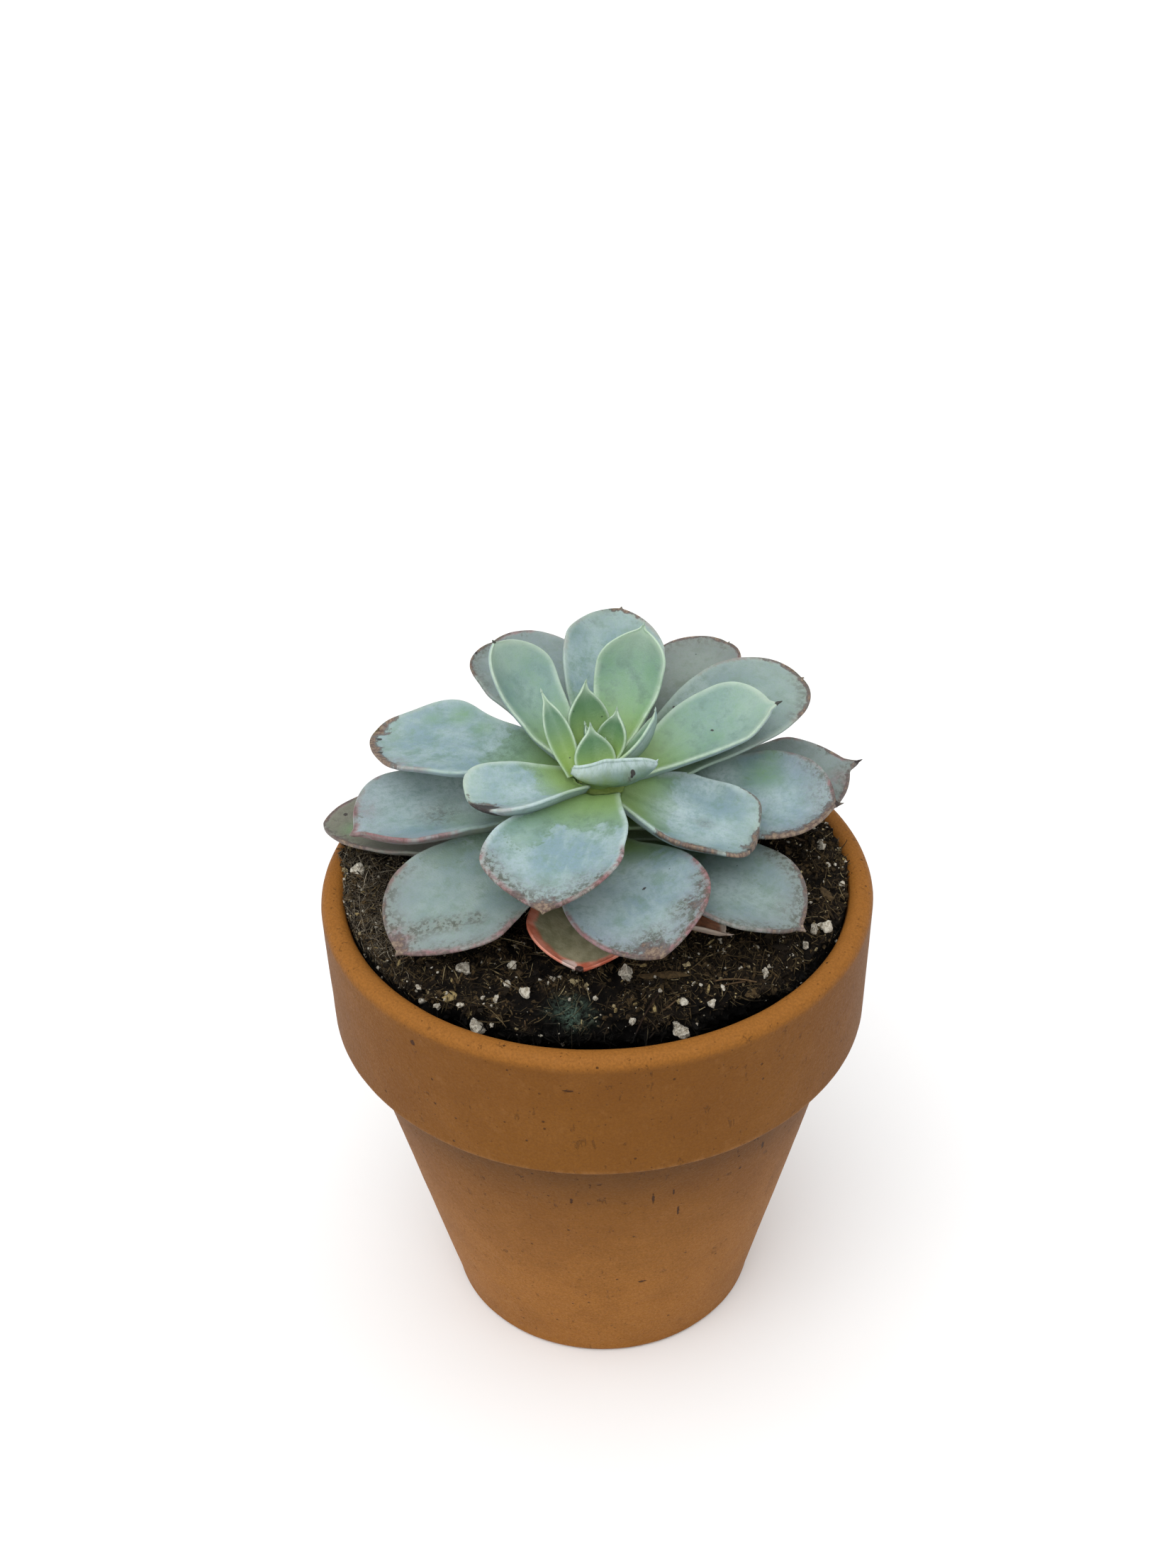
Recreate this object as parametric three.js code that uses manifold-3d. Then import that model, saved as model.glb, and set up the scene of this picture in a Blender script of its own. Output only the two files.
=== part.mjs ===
// A rosette succulent in a terracotta pot, in millimetres with +Z up. The origin is
// the centre of the pot's base, on the surface that it stands on. The front is -Y.
import * as THREE from 'three';
import { mergeVertices } from 'three/addons/utils/BufferGeometryUtils.js';
import Module from 'manifold-3d';

// Driving dimensions
const GAP = 0.3; // clearance between neighbouring pieces

const POT_RADIUS = 55; // outside of the collar at the lip
const POT_HEIGHT = 104;
const COLLAR_HEIGHT = 29;
const COLLAR_TAPER = 0.7; // the collar narrows by this towards its lower edge
const COLLAR_STEP = 4; // how far the collar stands out from the body
const BASE_RADIUS = 33;
const WALL = 5;
const FLOOR = 6;
const DRAIN_RADIUS = 6.5;
const LIP_ROUND = 2.3;
const EDGE_ROUND = 2;
const COLLAR_ROUND = 1;
const POT_SIDES = 48;

const BALL_CENTRE = [-0.5, 4]; // root ball, pushed to the back of the pot
const BALL_RADIUS = [53, 47]; // across and front to back
const BALL_TOP = 105;
const BALL_SLOPE = 0.015; // the top falls by this towards +X
const BALL_SIDE = [ // share of the radius, and depth below the top
  [0, 0], [0.18, 0], [0.35, 0], [0.52, 0], [0.67, 0.1], [0.8, 0.2], [0.9, 0.5],
  [0.96, 1.6], [1, 4.5], [0.985, 9], [0.96, 14], [0.94, 18], [0, 20],
];
const FILL_TOP = 89; // loose soil between the root ball and the wall
const SOIL_SIDES = 48;
const CLOD = 1.1; // unevenness of the soil's surface
const SWELL = 0.012; // slow waves in the root ball's outline, as a share of its radius
const PERLITE_COUNT = 24;

const STEM_FOOT = new THREE.Vector3(1, 6.2, 98);
const STEM_TOP = new THREE.Vector3(1, 0.1, 127.5);
const STEM_RADIUS = [5.8, 4.6]; // at the foot and at the top
const FOOT_REACH = 4.5; // leaves start this far from the stem's centre line

const LEAF_EDGE = 0.8; // thickness at the margin
const LEAF_THICK = 3.8; // thickness at the middle of a grown leaf
const LEAF_CUP = 1.5; // how far the margins stand above the midline
const LEAF_STEPS = { along: 10, across: 4 };
const BUD_STEPS = { along: 7, across: 2 };

// A leaf runs from the stem at the height of its foot to its tip. arch lifts its
// middle, swing bends it sideways, hook turns its end sideways and roll turns its
// face. widest is where it is broadest, blunt shapes its end, neck is its width at
// the foot, and end is where its small point begins.
const USUAL = {
  arch: 2, swing: 0, hook: 0, roll: 0, widest: 0.68, blunt: 0.7, neck: 0.3, end: 0.92,
  cup: LEAF_CUP, thick: LEAF_THICK,
};
const leaf = (name, tip, foot, width, form) => ({ name, tip, foot, width, ...USUAL, ...form });

// From the top of the rosette downwards: each one lies over those that follow it.
const LEAVES = [
  leaf('leaf_inner_back_left', [-19.5, 23, 145.5], 128, 15,
    { arch: -4.5, swing: -1, hook: 1, widest: 0.72, blunt: 0.6, cup: 2 }),
  leaf('leaf_inner_back_right', [10.5, 24, 148], 129, 13.5,
    { arch: -5, hook: -2, widest: 0.72, end: 0.88, cup: 2 }),
  leaf('leaf_inner_right', [36.5, 12, 136.5], 126, 17.5,
    { arch: -1.5, swing: 3.5, hook: -1.5, roll: 10, widest: 0.73, neck: 0.2, end: 0.85 }),
  leaf('leaf_inner_left', [-25, -4, 127.5], 127.5, 18,
    { arch: 1.5, swing: 1, hook: -4.5, widest: 0.72, blunt: 0.4, neck: 0.5, end: 1 }),
  leaf('leaf_middle_front', [-10, -37, 124], 127, 27.5,
    { roll: 4, widest: 0.62, blunt: 0.85, neck: 0.4, end: 0.95 }),
  leaf('leaf_middle_front_right', [31, -10, 121], 125.5, 25,
    { arch: -2, hook: -3, widest: 0.5, blunt: 0.15, neck: 0.45, end: 0.95 }),
  leaf('leaf_middle_back', [6.5, 46, 139], 124, 21.5,
    { arch: 0.5, hook: -1, roll: 14, widest: 0.7, end: 0.88 }),
  leaf('leaf_middle_back_left', [-46, 22, 125], 124, 25.5,
    { arch: 3.5, swing: -1, roll: 2, widest: 0.75, blunt: 1, neck: 0.35, end: 0.8 }),
  leaf('leaf_middle_back_right', [43, 28, 132], 119, 22.5,
    { arch: 1.5, swing: 1, hook: -3, roll: 12, blunt: 0.6, neck: 0.2, end: 0.9 }),
  leaf('leaf_middle_right', [48.5, 2.5, 118.5], 117, 27.5,
    { arch: 0, swing: 3, roll: 11, widest: 0.7 }),
  leaf('leaf_middle_left', [-48, -3.5, 118], 118.5, 28.5,
    { arch: 0, swing: -5.5, roll: 2, widest: 0.73, blunt: 0.9, neck: 0.2, end: 0.9 }),
  leaf('leaf_outer_back_left', [-21, 51, 128], 118, 28,
    { arch: 2.5, swing: -5, hook: -3, roll: 2, widest: 0.66, blunt: 0.4, neck: 0.25, end: 1 }),
  leaf('leaf_outer_back_right', [29.5, 50, 127.5], 115, 24.5,
    { arch: 1.5, swing: 3, hook: -1, widest: 0.62, blunt: 0.5, end: 0.9 }),
  leaf('leaf_outer_front', [11.5, -41, 117], 113.5, 28,
    { arch: 2.5, swing: -2, hook: -3, roll: 6, widest: 0.6, blunt: 0.6, end: 1 }),
  leaf('leaf_outer_right', [54, 17.5, 118.5], 112.5, 24,
    { arch: -1, swing: -1.5, roll: 11, widest: 0.72, blunt: 0.8, end: 0.85, cup: 0.5 }),
  leaf('leaf_outer_left', [-55, 11, 110.5], 110, 23.5,
    { arch: 0.5, swing: -1, widest: 0.64, blunt: 0.5, end: 0.95 }),
  leaf('leaf_outer_front_left', [-38, -31, 110], 111.5, 28.5,
    { arch: 5.5, swing: -2, hook: -1.5, roll: -2, blunt: 0.8, end: 0.95 }),
  leaf('leaf_outer_front_right', [39, -27, 110.5], 110, 27,
    { arch: 3, hook: -1.5, roll: -6, widest: 0.64 }),
  leaf('leaf_lower_back', [-2, 46, 112], 110.5, 24, { arch: 2.5 }),
  leaf('leaf_lower_back_left', [-32, 35, 109.5], 108, 23, { arch: 1.5 }),
  leaf('leaf_lower_right', [36, 35, 109.5], 108, 22, { arch: 1.5 }),
  leaf('leaf_old_front', [-3.5, -33.5, 107.5], 108.5, 22,
    { arch: 1, widest: 0.72, blunt: 0.6, end: 0.97, cup: 3, thick: 2.4 }),
  leaf('leaf_dry_front', [25, -24.5, 108], 107.5, 12,
    { arch: 1.5, hook: 7, roll: -6, blunt: 0.8, cup: 2, thick: 1.4 }),
];

// The young leaves of the heart start from a point, [x, y, z], inside it.
const HEART_CENTRE = new THREE.Vector3(0.8, 0.8, 128.8);
const HEART_RADIUS = 4.2;
const bud = (tip, foot, width, form) => leaf('', tip, foot, width,
  { arch: 0, widest: 0.42, blunt: 1, neck: 0.6, end: 0.95, cup: 1, thick: 1.8, ...form });
const BUDS = [
  bud([-0.7, 9.3, 144], [0.5, 3, 130], 8.5, { arch: -1.6 }),
  bud([-10, 8.3, 143], [-2, 0.5, 129.8], 5, { roll: -30, arch: 0.5 }),
  bud([4.6, 6, 140], [2.2, 1, 130], 7.5, { arch: -0.8 }),
  bud([-0.6, 3.2, 138], [0.8, -2.4, 129.2], 8, { widest: 0.34, arch: -0.6, blunt: 1.1 }),
  bud([-1.7, 4.2, 138], [0, 2, 131], 2.4, { thick: 1.4 }),
  bud([2.3, 3.2, 134.8], [1.5, 1.5, 131], 2, { thick: 1.2 }),
  bud([12.1, 6.9, 139], [2.6, 0, 130.2], 8, { arch: -2.5, roll: -24, blunt: 0.75 }),
  bud([12, -4.4, 134], [-2.5, -4, 128.5], 10.5, { roll: -52, blunt: 0.6, cup: 2, arch: -0.5 }),
];

// Perlite grains that show most: place and radius.
const PERLITE = [
  [[5, -33, 105.4], 2.2], [[-25.5, -31, 104.2], 1.6], [[-16.5, -31, 104.4], 1.5],
  [[-21.5, -36.5, 97], 1.8], [[14, -39, 97.5], 1.7], [[20.5, -36.5, 101.5], 1.4],
  [[43, -19, 104.8], 1.7], [[42.5, 0, 105], 1.8], [[38.5, -22.5, 104.6], 1.4],
  [[-47.5, 1, 106], 1.7],
];

// Looks
const finish = (color, roughness) => new THREE.MeshStandardMaterial({ color, roughness, metalness: 0 });
const TERRACOTTA = finish(0xb06a38, 0.85);
const SOIL = finish(0x33261c, 0.98);
const STEM = finish(0x8b8a52, 0.7);
const LEAF = finish(0x8fa6a4, 0.6);
const YOUNG_LEAF = finish(0x8fb486, 0.5);
const OLD_LEAF = finish(0x8c8a6e, 0.65);
const DRY_LEAF = finish(0x7a4b2c, 0.8);

// Solids
const wasm = await Module();
wasm.setup();
const UP = new THREE.Vector3(0, 0, 1);

function solid(geometry) {
  const bare = geometry.clone();
  bare.deleteAttribute('normal');
  bare.deleteAttribute('uv');
  const merged = mergeVertices(bare, 1e-3);
  return new wasm.Manifold(new wasm.Mesh({
    numProp: 3,
    vertProperties: new Float32Array(merged.attributes.position.array),
    triVerts: new Uint32Array(merged.index.array),
  }));
}

function geometryOf(body) {
  const { vertProperties, triVerts } = body.getMesh();
  const geometry = new THREE.BufferGeometry();
  geometry.setAttribute('position', new THREE.BufferAttribute(vertProperties, 3));
  geometry.setIndex(new THREE.BufferAttribute(triVerts, 1));
  geometry.computeVertexNormals();
  return geometry;
}

function largest(body) {
  return body.decompose().reduce((a, b) => (a.volume() > b.volume() ? a : b));
}

function mesh(name, body, material) {
  const item = new THREE.Mesh(geometryOf(body), material.clone());
  item.name = name;
  return item;
}

function randomFrom(seed) {
  let state = seed;
  return () => {
    state = (state * 1664525 + 1013904223) % 4294967296;
    return state / 4294967296;
  };
}

const clamp = THREE.MathUtils.clamp;

// Pot: a lathe profile that closes on itself round the drain hole. grow widens it on
// all sides, which gives the room that the soil keeps from it.
function potProfile(grow) {
  const collarFoot = POT_HEIGHT - COLLAR_HEIGHT;
  const under = POT_RADIUS - COLLAR_TAPER;
  const body = under - COLLAR_STEP;
  const inside = POT_RADIUS - WALL;
  const floorRadius = BASE_RADIUS - WALL + (FLOOR * (body - BASE_RADIUS)) / collarFoot;
  const lipZ = POT_HEIGHT - LIP_ROUND;
  const path = new THREE.Path();
  path.moveTo(DRAIN_RADIUS - grow, -grow);
  path.lineTo(BASE_RADIUS - EDGE_ROUND, -grow);
  path.quadraticCurveTo(BASE_RADIUS + grow, -grow, BASE_RADIUS + grow, EDGE_ROUND);
  path.lineTo(body + grow, collarFoot - grow);
  path.lineTo(under - COLLAR_ROUND, collarFoot - grow);
  path.quadraticCurveTo(under + grow, collarFoot - grow, under + grow, collarFoot + COLLAR_ROUND);
  path.lineTo(POT_RADIUS + grow, lipZ);
  path.absarc(POT_RADIUS - LIP_ROUND, lipZ, LIP_ROUND + grow, 0, Math.PI / 2);
  path.absarc(inside + LIP_ROUND, lipZ, LIP_ROUND + grow, Math.PI / 2, Math.PI);
  path.lineTo(body - WALL - grow, collarFoot);
  path.lineTo(floorRadius - grow, FLOOR + grow);
  path.lineTo(DRAIN_RADIUS - grow, FLOOR + grow);
  path.closePath();
  return path.getPoints(4);
}

function pot(grow = 0) {
  const points = potProfile(grow).filter((p, i, all) => i === 0 || p.distanceTo(all[i - 1]) > 1e-3);
  return solid(new THREE.LatheGeometry(points, POT_SIDES).rotateX(Math.PI / 2));
}

// Stem: a tapered round rod that leans to the front.
function stem(grow = 0) {
  const axis = STEM_TOP.clone().sub(STEM_FOOT);
  const [low, high] = STEM_RADIUS;
  const rod = new THREE.CylinderGeometry(high + grow, low + grow, axis.length() + 2 * grow, 20, 4);
  rod.applyQuaternion(new THREE.Quaternion().setFromUnitVectors(
    new THREE.Vector3(0, 1, 0), axis.clone().normalize(),
  ));
  const middle = STEM_FOOT.clone().addScaledVector(axis, 0.5);
  return solid(rod.translate(middle.x, middle.y, middle.z));
}

function stemAt(z) {
  return STEM_FOOT.clone().lerp(STEM_TOP, (z - STEM_FOOT.z) / (STEM_TOP.z - STEM_FOOT.z));
}

// Half width of a leaf as a share of its widest, at the share u of its length: an
// arc from the neck to the widest place, then a rounded end with a small point.
function outline(form, u) {
  if (u < form.widest) {
    const rise = Math.sin((u / form.widest) * (Math.PI / 2)) ** 1.35;
    return form.neck + (1 - form.neck) * rise;
  }
  const b = (u - form.widest) / (1 - form.widest);
  const round = (1 - clamp(b / form.end, 0, 1) ** 2.2) ** form.blunt;
  return Math.max(round, 0.9 * (1 - b));
}

// The midline of a leaf, with the directions along it, across it and out of its face.
function midline(form, u) {
  const tip = new THREE.Vector3(...form.tip);
  const rooted = !Array.isArray(form.foot);
  const start = rooted ? stemAt(form.foot) : new THREE.Vector3(...form.foot);
  const out = tip.clone().sub(start).setZ(0).normalize();
  if (rooted) start.addScaledVector(out, FOOT_REACH);
  const aside = new THREE.Vector3().crossVectors(UP, out);
  const end = tip.clone().addScaledVector(aside, -form.hook);
  const chord = end.clone().sub(start).normalize();
  const side = new THREE.Vector3().crossVectors(UP, chord).normalize();
  const normal = new THREE.Vector3().crossVectors(chord, side);
  const middle = start.clone().lerp(end, 0.5).addScaledVector(normal, form.arch * 2)
    .addScaledVector(side, form.swing * 2);
  const curve = new THREE.QuadraticBezierCurve3(start, middle, end);
  const along = curve.getTangent(u);
  const level = new THREE.Vector3().crossVectors(UP, along).normalize();
  const rise = new THREE.Vector3().crossVectors(along, level);
  const roll = THREE.MathUtils.degToRad(form.roll);
  return {
    place: curve.getPoint(u).addScaledVector(aside, form.hook * u ** 5),
    along,
    across: level.clone().multiplyScalar(Math.cos(roll)).addScaledVector(rise, Math.sin(roll)),
    face: rise.clone().multiplyScalar(Math.cos(roll)).addScaledVector(level, -Math.sin(roll)),
  };
}

// A leaf is a box bent to its form: hollowed above, full below, thin at its margin.
// Its steps crowd towards the tip, where the outline turns fastest.
function leafBody(form, steps, grow = 0) {
  const box = new THREE.BoxGeometry(2, 1, 1, steps.across, steps.along, 1);
  const position = box.attributes.position;
  const point = new THREE.Vector3();
  for (let i = 0; i < position.count; i += 1) {
    point.fromBufferAttribute(position, i);
    const v = -point.x;
    const s = 1 - (0.5 - point.y) ** 1.35;
    const line = midline(form, s);
    const share = outline(form, s);
    const half = Math.max((form.width / 2) * share, 0.4);
    const slim = 1 - 0.6 * clamp((s - 0.55) / 0.45, 0, 1) ** 1.6;
    const deep = form.thick * (0.75 + 0.25 * Math.sin(Math.PI * s)) * slim;
    const belly = Math.max(deep - LEAF_EDGE, 0) * (1 - v * v) ** 1.1 * clamp(share / 0.35, 0, 1);
    const top = form.cup * share * v * v + grow;
    const height = point.z > 0 ? top : top - LEAF_EDGE - belly - 2 * grow;
    line.place.addScaledVector(line.across, v * (half + grow));
    line.place.addScaledVector(line.face, height);
    if (s > 0.999) line.place.addScaledVector(line.along, grow);
    position.setXYZ(i, line.place.x, line.place.y, line.place.z);
  }
  return solid(box);
}

// The leaf as built, and the room that it keeps from its neighbours.
const withRoom = (make) => ({ body: make(0), room: make(GAP) });

function heart(grow) {
  const core = new THREE.SphereGeometry(HEART_RADIUS + grow, 12, 8);
  core.translate(HEART_CENTRE.x, HEART_CENTRE.y, HEART_CENTRE.z);
  return BUDS.reduce((all, form) => all.add(leafBody(form, BUD_STEPS, grow)), solid(core));
}

// Soil: the root ball with its grains, on loose soil that fills the pot below it.
const hash = (x, y, z) => {
  const wave = Math.sin(x * 12.9898 + y * 78.233 + z * 37.719) * 43758.5453;
  return wave - Math.floor(wave) - 0.5;
};
const ballTopAt = (x) => BALL_TOP - BALL_SLOPE * x;

function rootBall() {
  const profile = BALL_SIDE.map(([share, drop]) => new THREE.Vector2(share, -drop)).reverse();
  const ball = new THREE.LatheGeometry(profile, SOIL_SIDES).rotateX(Math.PI / 2);
  const position = ball.attributes.position;
  for (let i = 0; i < position.count; i += 1) {
    const [x, y, z] = [position.getX(i), position.getY(i), position.getZ(i)];
    const share = Math.hypot(x, y);
    const key = [Math.round(x * 500), Math.round(y * 500), Math.round(z * 50)];
    const slow = SWELL * Math.sin(5 * Math.atan2(y, x) + 1);
    const swell = 1 + slow + (2 * CLOD * hash(...key)) / BALL_RADIUS[0];
    const px = BALL_CENTRE[0] + x * BALL_RADIUS[0] * swell;
    const py = BALL_CENTRE[1] + y * BALL_RADIUS[1] * swell;
    const rough = share > 0.01 ? 2 * CLOD * hash(key[1], key[2], key[0]) : 0;
    position.setXYZ(i, px, py, ballTopAt(px) + z + rough);
  }
  return solid(ball);
}

function looseFill() {
  const reach = POT_RADIUS - WALL / 2;
  const slope = (POT_RADIUS - COLLAR_TAPER - COLLAR_STEP - BASE_RADIUS) / (POT_HEIGHT - COLLAR_HEIGHT);
  const low = BASE_RADIUS - WALL / 2 + slope * FLOOR;
  const profile = [
    [0, FLOOR + GAP], [low, FLOOR + GAP], [reach - COLLAR_STEP, POT_HEIGHT - COLLAR_HEIGHT],
    [reach - COLLAR_STEP + 1, FILL_TOP], [0, FILL_TOP],
  ];
  const points = profile.map(([r, z]) => new THREE.Vector2(r, z));
  return solid(new THREE.LatheGeometry(points, SOIL_SIDES).rotateX(Math.PI / 2));
}

function grain([x, y, z], radius, random) {
  const stone = new THREE.IcosahedronGeometry(radius, 0);
  stone.scale(1, 0.75 + 0.25 * random(), 0.8);
  stone.rotateX(random() * 3).rotateY(random() * 3).rotateZ(random() * 3);
  return solid(stone.translate(x, y, z - 0.25 * radius));
}

function grains() {
  const random = randomFrom(11);
  const shown = PERLITE.map(([place, radius]) => grain(place, radius, random));
  for (let i = 0; i < PERLITE_COUNT; i += 1) {
    const angle = random() * 2 * Math.PI;
    const share = 0.6 + 0.33 * Math.sqrt(random());
    const x = BALL_CENTRE[0] + BALL_RADIUS[0] * share * Math.cos(angle);
    const y = BALL_CENTRE[1] + BALL_RADIUS[1] * share * Math.sin(angle);
    const z = ballTopAt(x) - (share > 0.85 ? 1.2 : 0.2);
    shown.push(grain([x, y, z], 0.9 + 0.9 * random(), random));
  }
  return shown;
}

function soil(rooms) {
  let body = grains().reduce((all, item) => all.add(item), rootBall().add(looseFill()));
  body = body.subtract(pot(GAP)).subtract(stem(GAP));
  for (const room of rooms) body = body.subtract(room);
  return largest(body);
}

// The plant, from the top down: each leaf makes room for those that lie over it.
function plant() {
  const stemRoom = stem(GAP);
  const pieces = [];
  const rooms = [];
  const place = (name, made, material) => {
    let body = made.body.subtract(stemRoom);
    for (const room of rooms) body = body.subtract(room);
    pieces.push(mesh(name, largest(body), material));
    rooms.push(made.room);
  };
  place('heart', withRoom(heart), YOUNG_LEAF);
  for (const form of LEAVES) {
    const material = { leaf_old_front: OLD_LEAF, leaf_dry_front: DRY_LEAF }[form.name] ?? LEAF;
    place(form.name, withRoom((grow) => leafBody(form, LEAF_STEPS, grow)), material);
  }
  return { pieces, rooms };
}

const succulent = new THREE.Group();
const { pieces, rooms } = plant();
succulent.add(mesh('pot', pot(), TERRACOTTA));
succulent.add(mesh('soil', soil(rooms), SOIL));
succulent.add(mesh('stem', stem(), STEM));
succulent.add(...pieces);

export default succulent;
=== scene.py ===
"""A rosette succulent in a terracotta pot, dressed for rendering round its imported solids.

Sizes are in millimetres, as in the part's source, and become metres in solid().
"""

import math

import bpy
import numpy as np
from mathutils import Matrix, Vector
from mathutils.bvhtree import BVHTree


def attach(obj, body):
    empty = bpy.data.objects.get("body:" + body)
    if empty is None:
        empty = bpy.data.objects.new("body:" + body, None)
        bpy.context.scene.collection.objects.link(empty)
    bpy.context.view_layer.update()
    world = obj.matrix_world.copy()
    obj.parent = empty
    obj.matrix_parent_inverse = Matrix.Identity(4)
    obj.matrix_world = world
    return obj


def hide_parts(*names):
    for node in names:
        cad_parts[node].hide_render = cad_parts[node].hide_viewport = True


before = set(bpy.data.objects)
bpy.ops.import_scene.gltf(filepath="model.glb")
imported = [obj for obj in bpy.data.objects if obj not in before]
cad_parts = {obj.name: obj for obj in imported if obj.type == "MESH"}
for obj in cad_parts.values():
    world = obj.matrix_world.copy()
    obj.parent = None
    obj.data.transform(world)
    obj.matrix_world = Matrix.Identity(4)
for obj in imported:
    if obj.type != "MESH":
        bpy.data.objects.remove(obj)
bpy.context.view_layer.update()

MM = 0.001
TAU = 2 * math.pi

# ---------------------------------------------------------------- sizes shared with the part
POT_RADIUS, POT_HEIGHT = 55, 104
COLLAR_HEIGHT, COLLAR_TAPER, COLLAR_STEP, COLLAR_ROUND = 29, 0.7, 4, 1
BASE_RADIUS, WALL, FLOOR, DRAIN_RADIUS = 33, 5, 6, 6.5
LIP_ROUND, EDGE_ROUND, DRAIN_BEVEL = 2.3, 2, 0.6
COLLAR_FOOT, LIP_FOOT = POT_HEIGHT - COLLAR_HEIGHT, POT_HEIGHT - LIP_ROUND
COLLAR_LOW, MOUTH_RADIUS = POT_RADIUS - COLLAR_TAPER, POT_RADIUS - WALL
BODY_TOP = COLLAR_LOW - COLLAR_STEP
FLOOR_RADIUS = BASE_RADIUS - WALL + FLOOR * (BODY_TOP - BASE_RADIUS) / COLLAR_FOOT

BALL_CENTRE = np.array([-0.5, 4.0])
BALL_RADIUS = np.array([53.0, 47.0])
BALL_TOP, BALL_SLOPE = 105, 0.015
FILL_TOP = 89

STEM_FOOT = np.array([1, 6.2, 98.0])
STEM_TOP = np.array([1, 0.1, 127.5])
STEM_RADIUS = (5.8, 4.6)
FOOT_REACH = 4.5
LEAF_EDGE = 0.8

# A leaf runs from the stem at the height of its foot to its tip. arch lifts its middle,
# swing bends it sideways, hook turns its end sideways and roll turns its face. widest is
# where it is broadest, blunt shapes its end, neck is its width at the foot, and end is
# where its small point begins. left and right widen each side at four shares of the
# length, curl raises the two margins and wave shakes them, all in mm. point is the length
# of the hard tip and point_at its place across the end, and tarry darkens it. youth makes
# the leaf green, blush reddens its margin, bloom is how much blue-white powder it carries,
# shed is the share of the length where thick powder begins, and aged turns it olive-brown.
# Each kind of mark is a list of spots, (length share, side share, radius, strength), and
# bands along a margin, (side, from, to, depth, strength).
MARKS = ("rub", "dry", "scar", "green", "pink", "soot", "pale")
USUAL = dict(
    arch=2, swing=0, hook=0, roll=0, widest=0.68, blunt=0.7, neck=0.3, end=0.92, cup=1.5,
    thick=3.8, left=(0, 0, 0, 0), right=(0, 0, 0, 0), curl=(0.3, 0.3), wave=0.5, point=0,
    point_at=0, tarry=0, youth=0, blush=0.5, bloom=1, shed=0.4, aged=0, **dict.fromkeys(MARKS, ()),
)
WIDENED_AT = (0.25, 0.5, 0.75, 0.93)


def leaf(name, tip, foot, width, slot="leaf", **form):
    given = {"name": "leaf_" + name, "tip": tip, "foot": foot, "width": width, "slot": slot}
    return {**USUAL, **given, **form}


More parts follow.
